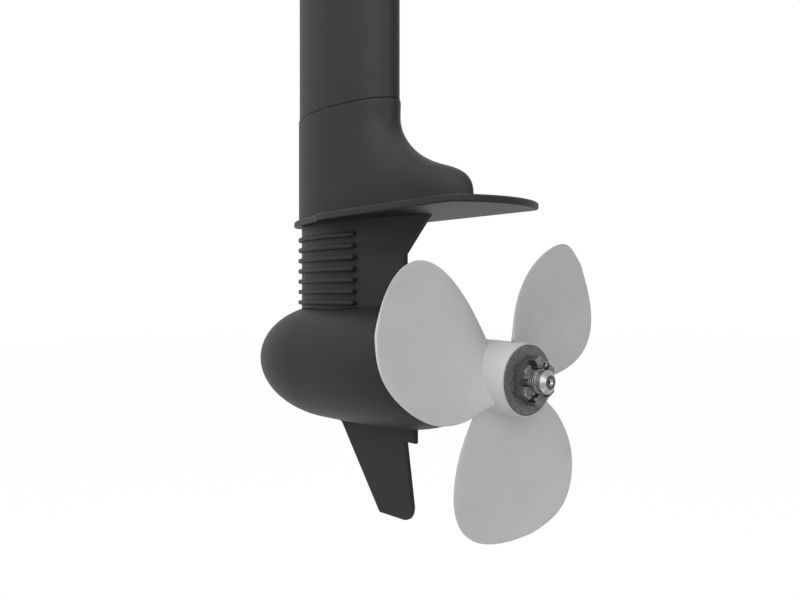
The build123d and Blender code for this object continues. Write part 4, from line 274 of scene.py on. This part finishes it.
def grip_rubber():
    """Soft grip rubber with a pebbled surface."""
    material, tree_nodes, links, surface = finish(
        "grip rubber", (0.026, 0.026, 0.028), roughness=0.72,
    )
    pebbles = object_noise(tree_nodes, links, scale=1600.0, detail=2.0)
    relief(tree_nodes, links, surface, pebbles, depth=0.0003, strength=0.5)
    return material


def smooth_moulding():
    """Smooth self-coloured plastic of pads, bushes and the friction knob."""
    material, tree_nodes, links, surface = finish(
        "smooth moulding", (0.06, 0.06, 0.063), roughness=0.38,
    )
    grain = object_noise(tree_nodes, links, scale=700.0)
    relief(tree_nodes, links, surface, grain, depth=0.00008, strength=0.3)
    return material


def display_glass():
    """Dark clear window."""
    return finish("display glass", (0.012, 0.014, 0.017), roughness=0.06)[0]


def button_moulding():
    """Grey push button."""
    return finish("button grey", (0.45, 0.45, 0.46), roughness=0.35)[0]


def key_moulding():
    """Red safety key."""
    return finish("key red", (0.62, 0.03, 0.02), roughness=0.35)[0]


FINISHES = {
    "black_paint": powder_coat(),
    "black_plastic": black_moulding(),
    "propeller_plastic": propeller_moulding(),
    "zinc_steel": zinc_plate(),
    "stainless": turned_steel(),
    "bearing_steel": ground_steel(),
    "lamination": lamination(),
    "copper": copper_wire(),
    "magnet": plated_magnet(),
    "seal_rubber": seal_rubber(),
    "grip_rubber": grip_rubber(),
    "pad_plastic": smooth_moulding(),
    "window": display_glass(),
    "button_plastic": button_moulding(),
    "key_plastic": key_moulding(),
}
FINISHES["arm_aluminium"] = FINISHES["black_paint"]     # the tiller is painted too
OWN_FINISHES = {"castle_nut": mottled_steel(), "motor_shaft": shaft_steel_with_shaded_face()}
OWN_FINISHES["cotter_pin"] = OWN_FINISHES["castle_nut"]

for piece in frame["record"]["subparts"]:
    cad_node = nodes[piece["node"]]
    cad_node.data.materials.clear()
    cad_node.data.materials.append(
        OWN_FINISHES.get(piece["node"], FINISHES[piece["material_slot"]])
    )


# Screw threads

TURN_STEPS = 48             # faces round a turned solid and round a thread's core
THREAD_STEPS = 36           # lengths in one turn of a ridge
RIDGE_CORNERS = 4
EDGE_STEPS = 5              # faces across a rounded edge
SHARP_EDGE = math.radians(32)


def thread_rule():
    """Core of a screw with one ridge winding round it, along +Z from the origin."""
    tree = bpy.data.node_groups.new("screw thread", "GeometryNodeTree")
    tree.interface.new_socket("Geometry", in_out="INPUT", socket_type="NodeSocketGeometry")
    for label in ("Length", "Pitch", "Core Radius", "Ridge Height"):
        tree.interface.new_socket(label, in_out="INPUT", socket_type="NodeSocketFloat")
    tree.interface.new_socket("Steel", in_out="INPUT", socket_type="NodeSocketMaterial")
    tree.interface.new_socket("Geometry", in_out="OUTPUT", socket_type="NodeSocketGeometry")
    sizes = tree.nodes.new("NodeGroupInput")
    result = tree.nodes.new("NodeGroupOutput")
    links = tree.links

    turns = tree.nodes.new("ShaderNodeMath")
    turns.operation = "DIVIDE"
    links.new(sizes.outputs["Length"], turns.inputs[0])
    links.new(sizes.outputs["Pitch"], turns.inputs[1])
    helix = tree.nodes.new("GeometryNodeCurveSpiral")
    helix.inputs["Resolution"].default_value = THREAD_STEPS
    helix.inputs["Reverse"].default_value = True        # a right-hand thread
    links.new(turns.outputs["Value"], helix.inputs["Rotations"])
    links.new(sizes.outputs["Core Radius"], helix.inputs["Start Radius"])
    links.new(sizes.outputs["Core Radius"], helix.inputs["End Radius"])
    links.new(sizes.outputs["Length"], helix.inputs["Height"])
    upright = tree.nodes.new("GeometryNodeSetCurveNormal")
    upright.mode = "Z_UP"
    links.new(helix.outputs["Curve"], upright.inputs["Curve"])
    ridge = tree.nodes.new("GeometryNodeCurvePrimitiveCircle")
    ridge.inputs["Resolution"].default_value = RIDGE_CORNERS
    links.new(sizes.outputs["Ridge Height"], ridge.inputs["Radius"])
    wound = tree.nodes.new("GeometryNodeCurveToMesh")
    wound.inputs["Fill Caps"].default_value = True
    links.new(upright.outputs["Curve"], wound.inputs["Curve"])
    links.new(ridge.outputs["Curve"], wound.inputs["Profile Curve"])

    core = tree.nodes.new("GeometryNodeMeshCylinder")
    core.inputs["Vertices"].default_value = TURN_STEPS
    links.new(sizes.outputs["Core Radius"], core.inputs["Radius"])
    links.new(sizes.outputs["Length"], core.inputs["Depth"])
    half = tree.nodes.new("ShaderNodeMath")
    half.operation = "MULTIPLY"
    half.inputs[1].default_value = 0.5
    links.new(sizes.outputs["Length"], half.inputs[0])
    lift = tree.nodes.new("ShaderNodeCombineXYZ")
    links.new(half.outputs["Value"], lift.inputs["Z"])
    raised = tree.nodes.new("GeometryNodeTransform")
    links.new(core.outputs["Mesh"], raised.inputs["Geometry"])
    links.new(lift.outputs["Vector"], raised.inputs["Translation"])

    both = tree.nodes.new("GeometryNodeJoinGeometry")
    links.new(wound.outputs["Mesh"], both.inputs["Geometry"])
    links.new(raised.outputs["Geometry"], both.inputs["Geometry"])
    real = tree.nodes.new("GeometryNodeRealizeInstances")
    links.new(both.outputs["Geometry"], real.inputs["Geometry"])
    steel = tree.nodes.new("GeometryNodeSetMaterial")
    links.new(real.outputs["Geometry"], steel.inputs["Geometry"])
    links.new(sizes.outputs["Steel"], steel.inputs["Material"])
    links.new(steel.outputs["Geometry"], result.inputs["Geometry"])
    return tree


def mesh_by_rule(tree, values):
    """Plain mesh that a geometry tree makes from its named inputs."""
    start = bpy.data.objects.new("start", bpy.data.meshes.new("start"))
    bpy.context.scene.collection.objects.link(start)
    rule = start.modifiers.new("rule", "NODES")
    rule.node_group = tree
    for socket in tree.interface.items_tree:
        if socket.in_out == "INPUT" and socket.name in values:
            rule[socket.identifier] = values[socket.name]
    made = start.evaluated_get(bpy.context.evaluated_depsgraph_get())
    mesh = bpy.data.meshes.new_from_object(made)
    start.modifiers.remove(rule)
    bpy.data.objects.remove(start)
    return mesh


def piece_from(name, mesh, body):
    """Put a mesh in the scene as a piece that moves with a body."""
    mesh.name = name
    piece = bpy.data.objects.new(name, mesh)
    bpy.context.scene.collection.objects.link(piece)
    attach(piece, body)
    return piece


AFT = Matrix.Rotation(math.radians(-90), 4, "X")        # turns +Z to +Y
TO_PORT = Matrix.Rotation(math.radians(90), 4, "Y")     # turns +Z to +X
THREAD_RULE = thread_rule()


def turned_solid(profile):
    """Closed solid turned about +Z from (height, radius) corners, its ends on the axis."""
    solid = bmesh.new()
    rows = []
    for height, radius in profile:
        count = TURN_STEPS if radius else 1
        rows.append([
            solid.verts.new((
                radius * math.cos(2 * math.pi * step / TURN_STEPS),
                radius * math.sin(2 * math.pi * step / TURN_STEPS),
                height,
            ))
            for step in range(count)
        ])
    for low, high in zip(rows, rows[1:]):
        for step in range(TURN_STEPS):
            after = (step + 1) % TURN_STEPS
            corners = [
                low[step % len(low)], low[after % len(low)],
                high[after % len(high)], high[step % len(high)],
            ]
            solid.faces.new(list(dict.fromkeys(corners)))
    bmesh.ops.recalc_face_normals(solid, faces=solid.faces)
    mesh = bpy.data.meshes.new("turned solid")
    solid.to_mesh(mesh)
    solid.free()
    return mesh


def put_together(parts, material):
    """One mesh from (mesh, place) pairs, smooth but for its sharp edges."""
    whole = bmesh.new()
    for mesh, place in parts:
        moved = mesh.copy()
        moved.transform(place)
        whole.from_mesh(moved)
        bpy.data.meshes.remove(moved)
    mesh = bpy.data.meshes.new("whole")
    whole.to_mesh(mesh)
    whole.free()
    mesh.materials.clear()
    mesh.materials.append(material)
    mesh.polygons.foreach_set("material_index", [0] * len(mesh.polygons))
    mesh.polygons.foreach_set("use_smooth", [True] * len(mesh.polygons))
    mesh.set_sharp_from_angle(angle=SHARP_EDGE)
    return mesh


def rounded_rod(length, radius, edge):
    """Profile of a rod from 0 to its length with rounded ends."""
    turns = [math.radians(90 * step / EDGE_STEPS) for step in range(EDGE_STEPS + 1)]
    low = [(edge - edge * math.cos(t), radius - edge + edge * math.sin(t)) for t in turns]
    high = [(length - height, reach) for height, reach in reversed(low)]
    return [(0, 0), *low, *high, (length, 0)]


SHAFT_THREAD_END = PROP_Y + 16.0 * MM
SHAFT_THREAD_IN_NUT = 6.0 * MM
SHAFT_THREAD_PITCH = 2.0 * MM
SHAFT_THREAD_CORE_R = 9.4 * MM
SHAFT_THREAD_DEPTH = 0.5 * MM


def shaft_thread():
    """Thread of the propeller shaft's end, from inside the nut's crown aft."""
    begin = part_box("castle_nut")[1].y - SHAFT_THREAD_IN_NUT
    mesh = mesh_by_rule(THREAD_RULE, {
        "Length": SHAFT_THREAD_END - begin,
        "Pitch": SHAFT_THREAD_PITCH,
        "Core Radius": SHAFT_THREAD_CORE_R,
        "Ridge Height": SHAFT_THREAD_DEPTH,
        "Steel": OWN_FINISHES["motor_shaft"],
    })
    mesh.transform(Matrix.Translation((0, begin, SHAFT_Z)) @ AFT)
    piece_from("shaft_thread", mesh, "propeller")


shaft_thread()


# Painted shadow: a dark band for the shade in the gap between leg and fairing

SHADOW_BAND_HEIGHT = 1.5 * MM
SHADOW_BAND_PROUD = 0.1 * MM
SHADOW_BAND_WALL = 0.3 * MM
MERGE_REACH = 0.01 * MM
UPRIGHT_LIMIT = 0.5         # a wall's normal rises less than this
OUTER_SHARE = 0.9           # the leg's hollow lies inside this share of its section


def leg_gap_shadow():
    """Painted shadow: a dark band round the foot of the leg, in place of the shade in the
    gap where the fairing takes over.
    """
    low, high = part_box("leg")
    band = bmesh.new()
    band.from_mesh(nodes["leg"].data)
    bmesh.ops.remove_doubles(band, verts=band.verts, dist=MERGE_REACH)
    bmesh.ops.bisect_plane(
        band,
        geom=band.verts[:] + band.edges[:] + band.faces[:],
        plane_co=(0, 0, low.z + SHADOW_BAND_HEIGHT),
        plane_no=(0, 0, 1),
        clear_outer=True,
    )
    inner = []
    for face in band.faces:
        middle_of_face = face.calc_center_median()
        across = (2 * middle_of_face.x - low.x - high.x) / (high.x - low.x)
        along = (2 * middle_of_face.y - low.y - high.y) / (high.y - low.y)
        if abs(face.normal.z) > UPRIGHT_LIMIT or across ** 2 + along ** 2 < OUTER_SHARE:
            inner.append(face)
    bmesh.ops.delete(band, geom=inner, context="FACES")
    band.normal_update()
    for corner in band.verts:
        corner.co += corner.normal * SHADOW_BAND_PROUD
    mesh = bpy.data.meshes.new("leg_gap_shadow")
    band.to_mesh(mesh)
    band.free()
    # The near black of seal rubber paints the gap's shadow here
    mesh.materials.append(FINISHES["seal_rubber"])
    piece = piece_from("leg_gap_shadow", mesh, "steered_leg")
    wall = piece.modifiers.new("wall", "SOLIDIFY")
    wall.thickness = SHADOW_BAND_WALL
    wall.offset = -1.0


leg_gap_shadow()


# Clamp screws with their sliding bars

CLAMP_SCREW_R = 8.0 * MM
CLAMP_THREAD_DEPTH = 0.75 * MM
CLAMP_THREAD_PITCH = 4.0 * MM
CLAMP_TIP_LENGTH = 8.0 * MM
CLAMP_TIP_SLACK = 0.1 * MM
CLAMP_TIP_OVERLAP = 1.0 * MM
CLAMP_HUB_R = 11.0 * MM
CLAMP_HUB_LENGTH = 18.0 * MM
CLAMP_HUB_EDGE = 2.0 * MM
CLAMP_BAR_R = 4.5 * MM
CLAMP_BAR_INSET = 1.0 * MM
CLAMP_KNOB_R = 6.3 * MM
CLAMP_KNOB_LENGTH = 9.0 * MM
CLAMP_KNOB_EDGE = 3.0 * MM
SMALL_EDGE = 1.0 * MM


def clamp_screw(side):
    """Threaded screw, its hub and the bar through it, in place of the plain one."""
    node = side + "_clamp_screw"
    low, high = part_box(node)
    middle_x = (low.x + high.x) / 2
    middle_z = (low.z + high.z) / 2
    hub_y = low.y + CLAMP_HUB_LENGTH / 2
    half_bar = (high.x - low.x) / 2
    thread = mesh_by_rule(THREAD_RULE, {
        "Length": high.y - hub_y - (CLAMP_TIP_LENGTH - CLAMP_TIP_OVERLAP),
        "Pitch": CLAMP_THREAD_PITCH,
        "Core Radius": CLAMP_SCREW_R - CLAMP_THREAD_DEPTH,
        "Ridge Height": CLAMP_THREAD_DEPTH,
        "Steel": FINISHES["stainless"],
    })
    tip = turned_solid(
        rounded_rod(CLAMP_TIP_LENGTH, CLAMP_SCREW_R - CLAMP_TIP_SLACK, SMALL_EDGE)
    )
    hub = turned_solid(rounded_rod(CLAMP_HUB_LENGTH, CLAMP_HUB_R, CLAMP_HUB_EDGE))
    bar = turned_solid(
        rounded_rod(2 * half_bar - 2 * CLAMP_BAR_INSET, CLAMP_BAR_R, SMALL_EDGE)
    )
    knob = turned_solid(rounded_rod(CLAMP_KNOB_LENGTH, CLAMP_KNOB_R, CLAMP_KNOB_EDGE))
    axis = Matrix.Translation((middle_x, 0, middle_z))
    bar_axis = Matrix.Translation((middle_x, hub_y, middle_z)) @ TO_PORT
    mesh = put_together([
        (thread, axis @ Matrix.Translation((0, hub_y, 0)) @ AFT),
        (tip, axis @ Matrix.Translation((0, high.y - CLAMP_TIP_LENGTH, 0)) @ AFT),
        (hub, axis @ Matrix.Translation((0, low.y, 0)) @ AFT),
        (bar, bar_axis @ Matrix.Translation((0, 0, CLAMP_BAR_INSET - half_bar))),
        (knob, bar_axis @ Matrix.Translation((0, 0, -half_bar))),
        (knob, bar_axis @ Matrix.Translation((0, 0, half_bar - CLAMP_KNOB_LENGTH))),
    ], FINISHES["stainless"])
    piece = piece_from(side + "_threaded_clamp_screw", mesh, node)
    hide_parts(node)


for side in ("port", "starboard"):
    clamp_screw(side)


# Charge bars on the display

def bar_rule():
    """Row of flat bars side by side along +Y, each across X."""
    tree = bpy.data.node_groups.new("row of bars", "GeometryNodeTree")
    tree.interface.new_socket("Geometry", in_out="INPUT", socket_type="NodeSocketGeometry")
    tree.interface.new_socket("Bars", in_out="INPUT", socket_type="NodeSocketInt")
    for label in ("Spacing", "Bar Length", "Bar Width", "Bar Height"):
        tree.interface.new_socket(label, in_out="INPUT", socket_type="NodeSocketFloat")
    tree.interface.new_socket("Ink", in_out="INPUT", socket_type="NodeSocketMaterial")
    tree.interface.new_socket("Geometry", in_out="OUTPUT", socket_type="NodeSocketGeometry")
    sizes = tree.nodes.new("NodeGroupInput")
    result = tree.nodes.new("NodeGroupOutput")
    links = tree.links
    step = tree.nodes.new("ShaderNodeCombineXYZ")
    links.new(sizes.outputs["Spacing"], step.inputs["Y"])
    row = tree.nodes.new("GeometryNodeMeshLine")
    links.new(sizes.outputs["Bars"], row.inputs["Count"])
    links.new(step.outputs["Vector"], row.inputs["Offset"])
    size = tree.nodes.new("ShaderNodeCombineXYZ")
    links.new(sizes.outputs["Bar Length"], size.inputs["X"])
    links.new(sizes.outputs["Bar Width"], size.inputs["Y"])
    links.new(sizes.outputs["Bar Height"], size.inputs["Z"])
    bar = tree.nodes.new("GeometryNodeMeshCube")
    links.new(size.outputs["Vector"], bar.inputs["Size"])
    spread_out = tree.nodes.new("GeometryNodeInstanceOnPoints")
    links.new(row.outputs["Mesh"], spread_out.inputs["Points"])
    links.new(bar.outputs["Mesh"], spread_out.inputs["Instance"])
    real = tree.nodes.new("GeometryNodeRealizeInstances")
    links.new(spread_out.outputs["Instances"], real.inputs["Geometry"])
    ink = tree.nodes.new("GeometryNodeSetMaterial")
    links.new(real.outputs["Geometry"], ink.inputs["Geometry"])
    links.new(sizes.outputs["Ink"], ink.inputs["Material"])
    links.new(ink.outputs["Geometry"], result.inputs["Geometry"])
    return tree


BAR_COUNT = 5
BAR_SPACING = 6.0 * MM
BAR_SHARE = 0.55            # of the window's width
BAR_WIDTH = 3.6 * MM
BAR_HEIGHT = 0.16 * MM


def charge_bars():
    """Pale bars side by side in the middle of the display's window."""
    low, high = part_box("display_window")
    mesh = mesh_by_rule(bar_rule(), {
        "Bars": BAR_COUNT,
        "Spacing": BAR_SPACING,
        "Bar Length": BAR_SHARE * (high.x - low.x),
        "Bar Width": BAR_WIDTH,
        "Bar Height": BAR_HEIGHT,
        "Ink": finish("display ink", (0.42, 0.52, 0.46), roughness=0.4)[0],
    })
    first_bar = (low.y + high.y) / 2 - (BAR_COUNT - 1) / 2 * BAR_SPACING
    mesh.transform(Matrix.Translation(((low.x + high.x) / 2, first_bar, high.z)))
    piece_from("charge_bars", mesh, "tiller")


charge_bars()


# Floor, light and camera

FLOOR_DROP = 0.75           # below the lowest point of the hanging motor
FLOOR_SPAN = 40.0
FLOOR_GLOW = 1.06           # seen by the camera as white
FLOOR_GLOW_SHARE = 0.9      # the rest takes the shadow
WORLD_LIGHT = 0.36          # what the world gives the object
WORLD_WHITE = 1.0           # what the camera and reflections see


def seen_share(tree_nodes, links):
    """One where the camera sees the surface, straight or in metal or glass."""
    path = tree_nodes.new("ShaderNodeLightPath")
    seen = path.outputs["Is Camera Ray"]
    for ray in ("Is Glossy Ray", "Is Transmission Ray"):
        either = tree_nodes.new("ShaderNodeMath")
        either.operation = "MAXIMUM"
        links.new(seen, either.inputs[0])
        links.new(path.outputs[ray], either.inputs[1])
        seen = either.outputs["Value"]
    return seen


def white_floor():
    """Pale floor that shows white to the camera and still takes a soft shadow."""
    material, tree_nodes, links, surface = finish(
        "pale floor", (0.9, 0.9, 0.9), roughness=0.9,
    )
    glow = tree_nodes.new("ShaderNodeEmission")
    glow.inputs["Color"].default_value = (1, 1, 1, 1)
    glow.inputs["Strength"].default_value = FLOOR_GLOW
    seen = seen_share(tree_nodes, links)
    share = tree_nodes.new("ShaderNodeMath")
    share.operation = "MULTIPLY"
    share.inputs[1].default_value = FLOOR_GLOW_SHARE
    mix = tree_nodes.new("ShaderNodeMixShader")
    links.new(seen, share.inputs[0])
    links.new(share.outputs["Value"], mix.inputs["Fac"])
    links.new(surface.outputs["BSDF"], mix.inputs[1])
    links.new(glow.outputs["Emission"], mix.inputs[2])
    links.new(mix.outputs["Shader"], tree_nodes["Material Output"].inputs["Surface"])
    return material


def square(name, half, place):
    """Flat square, facing up."""
    mesh = bpy.data.meshes.new(name)
    corners = [(-half, -half), (half, -half), (half, half), (-half, half)]
    points = [(place.x + x, place.y + y, place.z) for x, y in corners]
    mesh.from_pydata(points, [], [(0, 1, 2, 3)])
    sheet = bpy.data.objects.new(name, mesh)
    bpy.context.scene.collection.objects.link(sheet)
    return sheet


floor_z = cad_box[0].z - FLOOR_DROP
floor = square("floor", FLOOR_SPAN / 2, Vector((0, PROP_Y, floor_z)))
floor.data.materials.append(white_floor())


def soft_light(name, place, target, width, power):
    """Square area light aimed at a point."""
    lamp = bpy.data.lights.new(name, "AREA")
    lamp.size = width
    lamp.energy = power
    light = bpy.data.objects.new(name, lamp)
    light.location = place
    light.rotation_euler = (target - place).to_track_quat("-Z", "Y").to_euler()
    bpy.context.scene.collection.objects.link(light)


# Camera as the photograph was taken: almost level, aft of the propeller and to port
CAMERA_TURN = math.radians(39.525)      # between the line of sight and the shaft
CAMERA_PITCH = math.radians(-0.164)
CAMERA_PLACE = SHAFT + Vector((488.0, 430.5, 66.0)) * MM
CAMERA_LENS = 36.19
CAMERA_SENSOR = 36.0
LOOK = Vector((-math.sin(CAMERA_TURN), -math.cos(CAMERA_TURN), math.tan(CAMERA_PITCH)))
UP = Vector((0, 0, 1))
RIGHT = LOOK.cross(UP)

camera_data = bpy.data.cameras.new("camera")
camera_data.lens = CAMERA_LENS
camera_data.sensor_width = CAMERA_SENSOR
camera_data.clip_start = 0.01
camera_data.clip_end = 100.0
camera = bpy.data.objects.new("camera", camera_data)
camera.location = CAMERA_PLACE
camera.rotation_euler = LOOK.to_track_quat("-Z", "Y").to_euler()
bpy.context.scene.collection.objects.link(camera)
bpy.context.scene.camera = camera

# Soft lights round the lower unit, placed by the photograph's line of sight
middle = SHAFT + Vector((0, -0.15, 0.1))
for name, place, width, power in (
    ("key light", middle - RIGHT * 1.0 - LOOK * 0.9 + UP * 0.9, 1.0, 14.0),
    ("front light", middle - LOOK * 1.6 + RIGHT * 0.2 + UP * 0.5, 1.2, 12.0),
    ("top light", middle + UP * 1.6 - RIGHT * 0.2, 1.2, 12.0),
    ("low light", middle - UP * 1.1 + RIGHT * 0.1 - LOOK * 0.4, 1.0, 6.0),
):
    soft_light(name, place, middle, width, power)


def studio_world():
    """White behind the object for the camera and for reflections, softer as light."""
    world = bpy.data.worlds.new("studio")
    world.use_nodes = True
    tree = world.node_tree
    background = tree.nodes["Background"]
    background.inputs["Color"].default_value = (1, 1, 1, 1)
    background.inputs["Strength"].default_value = WORLD_LIGHT
    white = tree.nodes.new("ShaderNodeBackground")
    white.inputs["Color"].default_value = (1, 1, 1, 1)
    white.inputs["Strength"].default_value = WORLD_WHITE
    mix = tree.nodes.new("ShaderNodeMixShader")
    tree.links.new(seen_share(tree.nodes, tree.links), mix.inputs["Fac"])
    tree.links.new(background.outputs["Background"], mix.inputs[1])
    tree.links.new(white.outputs["Background"], mix.inputs[2])
    tree.links.new(mix.outputs["Shader"], tree.nodes["World Output"].inputs["Surface"])
    return world


bpy.context.scene.world = studio_world()
bpy.context.scene.view_settings.view_transform = "Standard"
